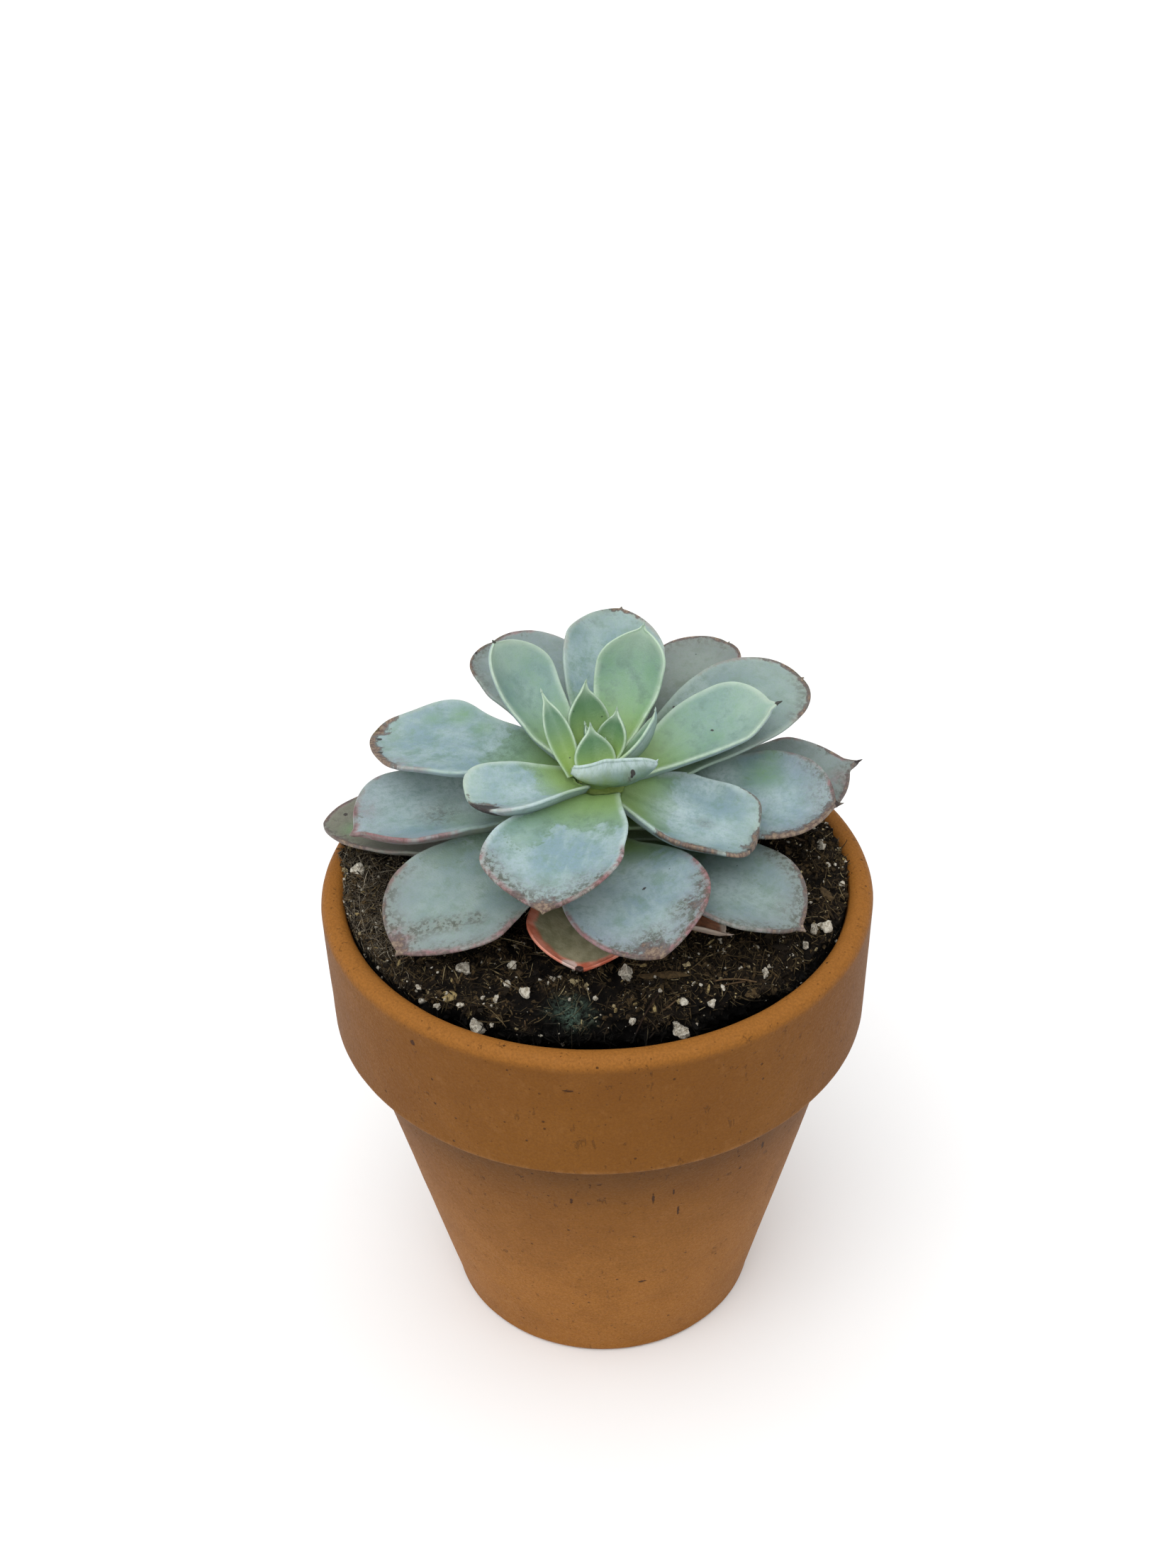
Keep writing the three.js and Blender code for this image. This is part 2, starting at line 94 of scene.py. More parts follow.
LEAVES = [
    leaf("inner_back_left", (-19.5, 23, 145.5), 128, 15, arch=-4.5, swing=-1, hook=1, widest=0.72,
         blunt=0.6, cup=2, left=(0, 0, 1, 0.6), right=(0, -0.9, -0.9, -0.2), youth=0.75, blush=0.05,
         bloom=0.95, shed=1.5, scar=[(0.99, -0.3, 0.5, 0.8)]),
    leaf("inner_back_right", (10.5, 24, 148), 129, 13.5, arch=-5, hook=-2, widest=0.72, end=0.88,
         cup=2, left=(0.4, 0.5, 0.2, 0), right=(0, 0.4, 0.3, 0), curl=(0.7, 0.3), point=0.35,
         youth=0.95, blush=0, bloom=0.62, shed=1.5, scar=[(0.4, 0.7, 0.3, 0.7)]),
    leaf("inner_right", (36.5, 12, 136.5), 126, 17.5, arch=-1.5, swing=3.5, hook=-1.5, roll=10,
         widest=0.73, neck=0.2, end=0.85, left=(0.2, 0.2, 0.4, 0.2), curl=(0.9, 0.3), point=0.8,
         tarry=1, youth=0.65, blush=0.05, bloom=0.86, shed=1.5,
         scar=[(0.995, 0, 0.6, 1), (0.6, -0.1, 0.42, 0.8)], green=[(0.6, -0.35, 1.8, 0.4)]),
    leaf("inner_left", (-25, -4, 127.5), 127.5, 18, arch=1.5, swing=1, hook=-4.5, widest=0.72,
         blunt=0.4, neck=0.5, end=1, right=(0, 0, -0.3, 0.2), curl=(0.2, 1.3), youth=0.5, blush=0.1,
         shed=0.35, dry=[(0.89, 0.72, 2.8, 1.1), (1, 0.88, 0.95, 0.9, 0.6)],
         scar=[(0.88, 0.78, 2.2, 1.1)], pink=[(0.82, 0.85, 2.4, 0.5), (1, 0.6, 0.88, 0.8, 0.4)],
         pale=[(0.45, 0.2, 4, 0.4), (1, 0.3, 0.8, 1.3, 1)]),
    leaf("middle_front", (-10, -37, 124), 127, 27.5, roll=4, widest=0.62, blunt=0.85, neck=0.4,
         end=0.95, left=(0.4, 1.3, 1.6, 0.7), right=(-0.6, -1.9, -1.9, -0.7), curl=(0.4, 0.9),
         youth=0.35, blush=0.6, shed=0.33, rub=[(0.5, -0.6, 4, 0.6)],
         dry=[(0.975, -0.12, 2.6, 1.5), (0.57, 0.93, 1.1, 0.7), (0.91, -0.75, 1.4, 0.9)],
         pink=[(-1, 0.6, 0.98, 0.9, 0.8), (1, 0.55, 0.98, 0.8, 1)],
         soot=[(0.9, -0.1, 3.5, 0.5), (0.8, 0.6, 3, 0.5), (-1, 0.66, 1, 3.2, 0.9),
               (1, 0.72, 1, 3, 0.9)], pale=[(-1, 0.35, 0.85, 1.1, 0.9), (1, 0.2, 0.7, 1, 0.8)]),
    leaf("middle_front_right", (31, -10, 121), 125.5, 25, arch=-2, hook=-3, widest=0.5, blunt=0.15,
         neck=0.45, end=1, left=(0, 0, 0.2, 0.9), right=(-0.4, -1.1, -0.9, -0.9), curl=(1.3, 0.5),
         point=0.7, point_at=-0.72, tarry=0.7, youth=0.35, blush=0.2, shed=0.32,
         rub=[(0.35, 0.1, 1.2, 0.8)],
         dry=[(0.96, -0.6, 1.7, 0.8), (-1, 0.3, 0.74, 1, 0.9), (-1, 0.84, 1, 1.2, 1),
              (1, 0.8, 1, 0.7, 0.7)], scar=[(0.985, -0.8, 0.7, 0.8)],
         soot=[(0.62, -0.1, 1.6, 0.4), (-1, 0.4, 1, 1.8, 0.45)],
         pale=[(0.44, -0.05, 5, 0.8), (0.7, -0.2, 4, 0.6), (0.57, 0.88, 3.4, 0.8),
               (1, 0.2, 0.8, 1.4, 1), (-1, 0.15, 0.5, 1, 0.8)]),
    leaf("middle_back", (6.5, 46, 139), 124, 21.5, arch=0.5, hook=-1, roll=14, widest=0.7,
         blunt=0.78, end=0.96, left=(0, 0, -0.3, 0), right=(0, 0, 0, -0.5), youth=0.4, blush=0.3,
         bloom=0.9, shed=0.42, dry=[(-1, 0.93, 1, 0.9, 0.9), (1, 0.95, 1, 0.9, 0.9)],
         scar=[(0.62, 0.35, 0.35, 0.8), (0.5, 0.25, 0.3, 0.8)], pale=[(0.3, 0, 5, 0.5)]),
    leaf("middle_back_left", (-43.8, 22.6, 125.1), 124, 25.5, arch=2.8, swing=-1, hook=-1.9, roll=2,
         widest=0.73, blunt=0.42, neck=0.35, end=1, left=(-0.2, -2.2, 0.9, -4.6),
         right=(-0.5, 1.7, 2.8, -1), curl=(0.2, 0.5), youth=0.35, blush=0.15, shed=0.38,
         dry=[(0.985, 0.1, 2.1, 1.5), (0.9, 0.85, 1.7, 1.4), (1, 0.74, 1, 1.5, 1.3),
              (-1, 0.94, 1, 1.6, 1.3)], scar=[(0.95, 0.48, 0.9, 0.7), (0.87, 0.85, 0.8, 0.7)],
         green=[(0.65, -0.68, 2.6, 0.8), (0.77, -0.5, 1.8, 0.6), (0.52, -0.6, 2.2, 0.6)],
         pink=[(0.76, 0.92, 2.4, 0.6), (1, 0.6, 0.8, 1, 0.5)]),
    leaf("middle_back_right", (43, 28, 132), 119, 22.5, arch=1.5, swing=1, hook=-3, roll=12,
         blunt=0.5, neck=0.2, end=0.97, left=(0, 0.2, 0.3, 0.2), right=(-0.2, -0.4, 0, 0.2),
         youth=0.3, blush=0.4, bloom=0.76, aged=0.2,
         dry=[(0.99, 0.1, 1, 0.7), (1, 0.9, 1, 0.8, 0.8), (-1, 0.84, 1, 0.8, 0.8)],
         scar=[(0.47, 0.8, 0.45, 0.9)], soot=[(-1, 0.8, 1, 2.4, 0.5)]),
    leaf("middle_right", (48.5, 2.5, 118.5), 117, 27.5, arch=0, swing=3, roll=11, widest=0.7,
         left=(-0.5, -1.3, -1.4, -0.4), right=(-0.6, -1.6, -1.2, -0.3), curl=(0.9, 0.3), point=0.5,
         tarry=0.5, youth=0.2, blush=0.7, shed=0.42, rub=[(0.47, 0.5, 4, 0.8)],
         dry=[(0.97, -0.2, 1.9, 0.8), (-1, 0.66, 0.98, 2, 1.15), (1, 0.93, 1, 0.9, 0.7)],
         scar=[(0.99, -0.12, 1, 0.9)], green=[(0.65, 0.55, 3.2, 0.9), (0.68, 0.85, 2, 0.7)],
         soot=[(0.9, 0.3, 3, 0.4), (-1, 0.55, 1, 3.2, 0.5), (1, 0.8, 1, 2.5, 0.5)],
         pale=[(0.46, 0.62, 3.6, 0.9), (0.71, 0.1, 4, 0.45), (0.3, 0.3, 3, 0.7)]),
    leaf("middle_left", (-48, -3.5, 118), 118.5, 28.5, arch=0, swing=-5.5, roll=2, widest=0.73,
         blunt=0.9, neck=0.2, end=0.9, right=(0, -0.3, -0.6, -0.5), curl=(0.2, 2), youth=0.25,
         blush=0.7, shed=0.36, rub=[(0.57, 0.05, 5, 0.7), (0.78, -0.1, 3, 0.6)],
         green=[(0.48, 0.5, 4, 0.4)],
         pink=[(0.9, -0.8, 3, 0.4), (1, 0.55, 1, 1.2, 0.8), (-1, 0.86, 1, 1.2, 0.6)],
         soot=[(0.6, 0.1, 4, 0.5)],
         pale=[(0.73, -0.6, 5, 0.9), (0.65, -0.2, 5, 1.1), (0.5, -0.6, 6, 1.3), (0.45, 0, 6, 1.2)]),
    leaf("outer_back_left", (-21, 51, 128), 118, 28, arch=2.5, swing=-5, hook=-3, roll=2,
         widest=0.66, blunt=0.4, neck=0.25, end=1, left=(0, 0, -0.4, -0.9),
         right=(-1.5, -2.3, -1.2, -0.1), bloom=0.7, shed=0.5, aged=0.3,
         dry=[(1, 0.8, 1, 0.8, 0.8), (-1, 0.9, 1, 0.6, 0.6)],
         scar=[(0.97, 0.95, 0.8, 0.7), (0.7, -0.4, 0.35, 0.7)], soot=[(1, 0.7, 1, 2.5, 0.5)]),
    leaf("outer_back_right", (29.5, 50, 127.5), 115, 24.5, arch=1.5, swing=3, hook=-1, widest=0.64,
         blunt=0.42, end=0.97, left=(0, 0, -0.6, -1.2), right=(0, 0, -0.9, -0.9), blush=0.6,
         bloom=0.65, shed=0.5, aged=0.5, dry=[(1, 0.72, 1, 0.8, 0.85), (-1, 0.86, 1, 0.7, 0.8)],
         soot=[(1, 0.7, 1, 2.2, 0.4)]),
    leaf("outer_front", (11.5, -41, 117), 113.5, 28, arch=2.5, swing=-2, hook=-3, roll=6,
         widest=0.6, blunt=0.6, end=1, youth=0.15, blush=0.85, shed=0.34, aged=0.1,
         rub=[(0.78, 0.55, 2.4, 0.8), (0.87, 0.05, 2.6, 0.8)],
         dry=[(0.79, 0.72, 1.9, 1), (0.7, 0.85, 1.3, 0.9), (0.965, -0.3, 2.8, 1.4),
              (0.92, -0.45, 1.9, 1.1), (-1, 0.88, 1, 0.8, 0.6)], scar=[(0.55, 0.15, 0.42, 1)],
         pink=[(1, 0.45, 0.96, 1.2, 1), (-1, 0.55, 0.9, 0.8, 0.9)],
         soot=[(0.9, -0.1, 3.4, 0.9), (0.8, 0.6, 3, 0.9), (1, 0.6, 1, 3.2, 0.9),
               (-1, 0.85, 1, 3, 0.8)], pale=[(0.35, -0.1, 5, 0.8), (0.55, -0.7, 5, 0.6)]),
    leaf("outer_right", (54, 17.5, 118.5), 112.5, 24, arch=-1, swing=-1.5, roll=11, widest=0.72,
         blunt=0.8, end=0.85, cup=0.5, left=(0, -0.5, -2, -1.2), right=(0.8, 1.7, 1.1, 0.3),
         curl=(0, 0), point=0.4, tarry=0.8, blush=0.7, bloom=0.65, shed=0.5, aged=0.3,
         dry=[(-1, 0.82, 1, 1, 0.7), (1, 0.88, 1, 0.8, 0.7)], scar=[(0.99, 0.2, 0.8, 0.9)],
         pink=[(0.87, -0.4, 2.5, 0.4)], soot=[(-1, 0.75, 1, 2.6, 0.6)]),
    leaf("outer_left", (-55, 11, 110.5), 110, 23.5, arch=0.5, swing=-1, widest=0.64, blunt=0.6,
         end=1, blush=0.6, bloom=0.2, shed=2, aged=0.95,
         dry=[(0.9, 0.8, 1.4, 0.7), (-1, 0.75, 1, 0.8, 0.8), (1, 0.8, 1, 0.9, 0.8)],
         scar=[(0.92, -0.38, 0.5, 0.9)], green=[(0.87, 0.28, 2.4, 0.7)], soot=[(0.82, 0, 6, 0.6)]),
    leaf("outer_front_left", (-38, -31, 110), 111.5, 28.5, arch=5.5, swing=-2, hook=-1.5, roll=-2,
         blunt=0.8, end=0.95, left=(-0.5, -1.9, -1.6, -0.4), right=(0, 0.5, 1.2, 0.4), youth=0.1,
         blush=0.8, bloom=0.74, shed=0.34, aged=0.25, rub=[(0.56, -0.8, 3.4, 1)],
         dry=[(0.96, -0.3, 2.2, 1.35), (0.995, -0.6, 1.1, 1.6), (1, 0.9, 1, 0.7, 0.6),
              (-1, 0.8, 1, 0.7, 0.6)], pink=[(0.95, -0.5, 2.4, 0.8), (1, 0.62, 1, 1.2, 0.8)],
         soot=[(0.89, -0.1, 1.9, 1), (0.85, 0.07, 1.9, 1), (0.81, 0.2, 1.9, 1),
               (0.77, 0.36, 1.9, 1), (0.71, 0.5, 1.8, 0.9), (0.92, -0.75, 2.6, 0.9),
               (0.93, 0.1, 2.4, 0.8), (1, 0.6, 1, 2.4, 0.5), (-1, 0.7, 1, 2.4, 0.7)]),
    leaf("outer_front_right", (39, -27, 110.5), 110, 27, arch=3, hook=-1.5, roll=-6, widest=0.64,
         left=(0, 0.7, 0.6, 0.2), blush=0.65, bloom=0.75, shed=0.36, aged=0.2,
         rub=[(0.7, 0.2, 4, 0.5)], dry=[(1, 0.74, 1, 1, 0.8), (-1, 0.9, 1, 0.7, 0.6)],
         scar=[(0.69, 0.28, 0.42, 0.9), (0.57, -0.22, 0.38, 0.8), (0.45, 0.1, 0.3, 0.8)],
         soot=[(0.9, 0.3, 3.4, 0.5), (1, 0.6, 1, 3, 0.8), (-1, 0.7, 1, 2.6, 0.6)],
         pale=[(0.6, -0.1, 5, 0.6)]),
    leaf("lower_back", (-2, 46, 112), 110.5, 24, arch=2.5, blush=0.8, bloom=0.5, aged=0.3,
         rub=[(0.6, -0.3, 4, 0.6)], dry=[(0.97, 0.1, 1.6, 0.7)], soot=[(1, 0.6, 1, 3, 0.7)]),
    leaf("lower_back_left", (-32, 35, 109.5), 108, 23, arch=1.5, blush=0.8, bloom=0.4, aged=0.4,
         dry=[(0.95, -0.2, 2, 0.8)], scar=[(0.7, 0.3, 0.6, 0.9)], soot=[(-1, 0.6, 1, 3, 0.8)]),
    leaf("lower_right", (36, 35, 109.5), 108, 22, arch=1.5, blush=0.9, bloom=0.4, aged=0.4,
         dry=[(0.94, 0.3, 2.2, 0.8)], pink=[(0.8, -0.4, 3, 0.6)], soot=[(1, 0.6, 1, 3, 0.7)]),
    leaf("old_front", (-3.5, -33.5, 107.5), 108.5, 22, slot="old_leaf", arch=1, widest=0.72,
         blunt=0.6, end=0.97, cup=3, thick=2.4, curl=(0.6, 0.6), blush=1, bloom=0.1,
         rub=[(0.97, -0.62, 1.7, 0.9)], scar=[(0.985, -0.12, 0.9, 0.9)]),
    leaf("dry_front", (25, -24.5, 108), 107.5, 12, slot="dry_leaf", arch=1.5, hook=7, roll=-6,
         blunt=0.8, cup=2, thick=1.4, wave=1.6, point=0.8, blush=1, bloom=0),
]

# The young leaves of the heart start from a point inside it.
HEART_CENTRE = np.array([0.8, 1.2, 127.8])
HEART_RADIUS = 3.6


def bud(tip, foot, width, **form):
    usual = dict(arch=0, widest=0.42, blunt=1, neck=0.6, end=0.84, cup=1, thick=1.8, curl=(0, 0),
                 wave=0.1, point=0.3, youth=1.2, blush=0, bloom=0.22, shed=2)
    return leaf("", tip, foot, width, **{**usual, **form})


BUDS = [
    bud((-1.2, 9.3, 144.4), (0.5, 3, 130), 9, arch=-1.6, hook=-0.8),
    bud((-10, 8.3, 143), (-3.8, -0.6, 129), 5.2, arch=0.2, roll=-30, bloom=0.5),
    bud((4.6, 6, 140), (2.2, 1, 130), 6.4, arch=-0.8),
    bud((-0.6, 3.2, 138.4), (0.8, -2.4, 129.2), 8.2, arch=-0.6, widest=0.34, blunt=1.1, cup=0.4),
    bud((-1.7, 4.2, 138), (0, 2, 131), 2.4, thick=1.4),
    bud((2.3, 3.2, 134.8), (1.5, 1.5, 131), 2, thick=1.2),
    bud((12.1, 6.9, 139), (2.6, 0, 130.2), 8, arch=-2.5, roll=-40, blunt=0.75, youth=0.9,
        bloom=0.5),
    bud((12, -4.4, 134.6), (-4.2, -3.4, 132.7), 10.4, arch=-2.3, roll=-52, widest=0.44, blunt=0.6,
        neck=0.2, end=0.98, cup=2, thick=2.4, left=(-0.9, -1.5, -1, 0.2), right=(0.2, 0.7, 0.5, 0),
        youth=0.6, bloom=0.3, scar=[(0.72, -0.55, 0.45, 1), (0.69, -0.4, 0.3, 0.8)],
        soot=[(0.66, -0.3, 0.9, 0.7)], pale=[(-1, 0, 1, 1, 1)]),
]

# Perlite grains that show most: place and radius.
PERLITE = [
    ((5, -32.4, 105.8), 2.2), ((-25, -30.4, 105.9), 1.6), ((-16.5, -29.2, 105.7), 1.4),
    ((-22.6, -39.6, 99.2), 2), ((15, -41.7, 100), 1.9), ((45.2, 6.2, 105), 1.7),
    ((43.8, -17.9, 104.2), 1.8), ((41.5, -19.4, 104.6), 1.3), ((-47.7, 0.3, 106.4), 1.8),
    ((-13.9, -36.8, 105.7), 1.3), ((-17.1, -34.5, 105.7), 1), ((15.4, -39.5, 104.3), 1.3),
    ((20.7, -39.1, 103.6), 0.9), ((5.9, -43, 103.2), 0.9), ((-33.3, -33.3, 100.8), 0.9),
    ((-33.7, -32.9, 104), 0.9), ((-0.8, -38.7, 105.4), 0.7), ((39.5, -23.2, 104.1), 0.9),
    ((48.6, -4.6, 104.1), 0.9), ((31.2, -31.8, 103.9), 0.9), ((-8.7, -33.6, 105.7), 0.9),
    ((-19.2, -37.8, 104.9), 0.8), ((-25.9, -37.5, 103.2), 0.8), ((23, -35.5, 104.4), 0.7),
]

# Bark that shows most: place, turn and lean in degrees, half sizes and tint.
CHIPS = [
    ((11.8, -33.6, 106.1), (-2, 30), (4.6, 0.9, 0.5), 0.72),
    ((-28, -35.6, 103.4), (-20, 40), (1.9, 1.3, 0.4), 0.95),
    ((-44, -14, 105.6), (70, 15), (3.2, 0.9, 0.35), 0.6),
    ((30, -34, 102.6), (35, 25), (3.4, 0.8, 0.35), 0.7),
    ((-12, -39.5, 100.5), (10, 50), (2.4, 1, 0.4), 0.55),
    ((45, -9, 105), (100, 15), (2.6, 1.1, 0.4), 0.75),
]

# Nicks in the clay that show most: place, half width and half height.
NICKS = [
    ((-34.8, -42.5, 98.7), 0.45, 0.7), ((-6.2, -54.5, 97), 1, 0.25),
    ((9.6, -45.8, 59.9), 0.26, 1.7), ((14.6, -42.9, 53.3), 0.26, 1.6),
    ((7.6, -38.8, 28.3), 1, 0.35), ((-6.3, -46.5, 60.3), 0.3, 0.9),
    ((31.5, -35.8, 63.8), 0.25, 1.4), ((13.6, -45, 60.5), 0.2, 1.1), ((27, -39, 60), 0.3, 0.6),
]


# ---------------------------------------------------------------- numbers
def srgb(r, g, b):
    """A colour as its eye-read 0-255 values, in the linear values that shaders take."""
    c = np.array([r, g, b]) / 255
    linear = np.where(c <= 0.04045, c / 12.92, ((c + 0.055) / 1.055) ** 2.4)
    return (*linear.tolist(), 1.0)


def smooth(low, high, x):
    t = np.clip((x - low) / (high - low), 0, 1)
    return t * t * (3 - 2 * t)


def unit(v):
    return v / np.linalg.norm(v, axis=-1, keepdims=True)


def circle(sides):
    """Directions round a circle, as (side, xy)."""
    turn = np.arange(sides) / sides * TAU
    return np.stack([np.cos(turn), np.sin(turn)], -1)


def lattice(cell, seed):
    n = cell @ np.array([374761393, 668265263, 1274126177]) + seed * 974711
    n = ((n & 0xFFFFFFFF) ^ ((n & 0xFFFFFFFF) >> 13)) * 1274126177 & 0xFFFFFFFF
    return ((n ^ (n >> 16)) & 0xFFFF) / 32767.5 - 1


def grain(points, seed):
    """Smooth noise from -1 to 1 with a grain of one unit."""
    cell = np.floor(points).astype(np.int64)
    t = smooth(0, 1, points - cell)
    total = 0
    for corner in np.ndindex(2, 2, 2):
        share = np.prod(np.where(np.array(corner) == 1, t, 1 - t), axis=-1)
        total = total + share * lattice(cell + corner, seed)
    return total


def rough(points, size, octaves=3, seed=0):
    """Noise from about -1 to 1 whose largest grain is size."""
    total = 0
    for k in range(octaves):
        total = total + grain(points * (2**k / size) + 19.7 * k, seed + k) * 0.5**k
    return total / (2 - 0.5 ** (octaves - 1))


# ---------------------------------------------------------------- meshes
def placed(name, data):
    item = bpy.data.objects.new(name, data)
    bpy.context.scene.collection.objects.link(item)
    return item


def solid(name, points, faces, material, values=None, replaces=(), sharp=False):
    """A piece of the object from points in millimetres. values are per-point attributes."""
    mesh = bpy.data.meshes.new(name)
    mesh.from_pydata(np.asarray(points) * MM, [], faces)
    for key, value in (values or {}).items():
        value = np.asarray(value, np.float32)
        kind, field = ("FLOAT_VECTOR", "vector") if value.ndim == 2 else ("FLOAT", "value")
        mesh.attributes.new(key, kind, "POINT").data.foreach_set(field, value.ravel())
    mesh.polygons.foreach_set("use_smooth", [not sharp] * len(mesh.polygons))
    mesh.materials.append(material)
    mesh.validate()
    piece = placed(name, mesh)
    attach(piece, "root")
    if replaces:
        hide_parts(*replaces)
    return piece


def skin_faces(rings, count, start=0):
    """Quads between neighbouring closed rings of count points, and a fan at each end."""
    i, last = np.arange(count), rings * count
    j = (i + 1) % count
    ring = np.arange(rings - 1)[:, None] * count
    quads = np.stack([ring + i, ring + j, ring + j + count, ring + i + count], -1).reshape(-1, 4)
    top = last - count
    fans = [np.stack([j, i, np.full(count, last)], -1),
            np.stack([top + i, top + j, np.full(count, last + 1)], -1)]
    return (quads + start).tolist() + (np.concatenate(fans) + start).tolist()


def flipped(faces):
    return [face[::-1] for face in faces]


def with_ends(rings):
    """The values of rings, an array of (ring, point, ...), and the mean of each end."""
    ends = np.stack([rings[0].mean(0), rings[-1].mean(0)])
    return np.concatenate([rings.reshape(-1, *rings.shape[2:]), ends])


def joined(parts):
    """One mesh from several sets of (points, faces, values)."""
    points, faces, values, start = [], [], {}, 0
    for spots, polygons, own in parts:
        points.append(spots)
        faces += [[k + start for k in polygon] for polygon in polygons]
        for key, value in own.items():
            values.setdefault(key, []).append(value)
        start += len(spots)
    return np.concatenate(points), faces, {k: np.concatenate(v) for k, v in values.items()}


# ---------------------------------------------------------------- leaf shape
def outline(form, u):
    """Half width as a share of the widest, at the share u of the length."""
    widest = form["widest"]
    rise = np.sin(np.clip(u / widest, 0, 1) * math.pi / 2) ** 1.35
    neck = form["neck"] + (1 - form["neck"]) * rise
    b = np.clip((u - widest) / (1 - widest), 0, 1)
    end = (1 - np.clip(b / form["end"], 0, 1) ** 2.2) ** form["blunt"]
    point = (0.9 * (1 - b)) ** 8
    return np.where(u < widest, neck, ((end**8 + point) / (1 + point)) ** (1 / 8))


def midline(form, u):
    """Places along a leaf's midline, the directions across it and out of its face, and its
    length. The foot is a height on the stem or a point."""
    tip, foot = np.array(form["tip"], float), form["foot"]
    rooted = np.ndim(foot) == 0
    if rooted:
        share = (foot - STEM_FOOT[2]) / (STEM_TOP[2] - STEM_FOOT[2])
        foot = STEM_FOOT + (STEM_TOP - STEM_FOOT) * share
    start = np.array(foot, float)
    up = np.array([0, 0, 1.0])
    out = unit((tip - start) * [1, 1, 0])
    if rooted:
        start = start + out * FOOT_REACH
    aside = np.cross(up, out)
    end = tip - aside * form["hook"]
    chord = unit(end - start)
    side = unit(np.cross(up, chord))
    lift = np.cross(chord, side)
    middle = (start + end) / 2 + lift * form["arch"] * 2 + side * form["swing"] * 2
    t = u[:, None]
    place = start * (1 - t) ** 2 + middle * 2 * t * (1 - t) + end * t**2
    along = unit((middle - start) * (1 - t) + (end - middle) * t)
    level = unit(np.cross(up, along))
    rise = np.cross(along, level)
    roll = math.radians(form["roll"])
    place = place + aside * form["hook"] * t**5
    across = level * math.cos(roll) + rise * math.sin(roll)
    face = rise * math.cos(roll) - level * math.sin(roll)
    return place, across, face, np.linalg.norm(end - start)


def run_along(x, y):
    """How far along a line each of its points is."""
    return np.concatenate([[0], np.cumsum(np.hypot(np.diff(x), np.diff(y)))])


def stations(form, length, step):
    """Shares of the length that are evenly spaced along the leaf's outline."""
    u = np.linspace(0, 1, 1500)
    run = run_along(u * length, form["width"] / 2 * outline(form, u))
    return np.interp(np.linspace(0, run[-1], max(int(run[-1] / step), 24)), run, u)


def distance_to(at, x, y):
    """How far each place is from a margin, both laid flat."""
    run = run_along(x, y)
    spots = np.linspace(0, run[-1], 500)
    x, y = np.interp(spots, run, x), np.interp(spots, run, y)
    return np.hypot(at[..., 0, None] - x, at[..., 1, None] - y).min(-1)


def mark_at(mark, at, u, length, rims, gaps):
    """How strongly a spot or a band along a margin marks each point of a leaf."""
    if len(mark) == 4:
        place, across, radius, strength = mark
        centre = abs(across) * np.interp(place, u, rims[-1 if across < 0 else 1])
        far_off = np.hypot(at[..., 0] - centre, at[..., 1] - place * length)
        return strength * (1 - smooth(0, 1.9, far_off / radius))
    way, start, end, depth, strength = mark
    tall = u[:, None]
    band = smooth(start - 0.05, start + 0.04, tall) * (1 - smooth(end, end + 0.08, tall))
    return strength * band * (1 - smooth(0.35, 1.5, gaps[way] / depth))


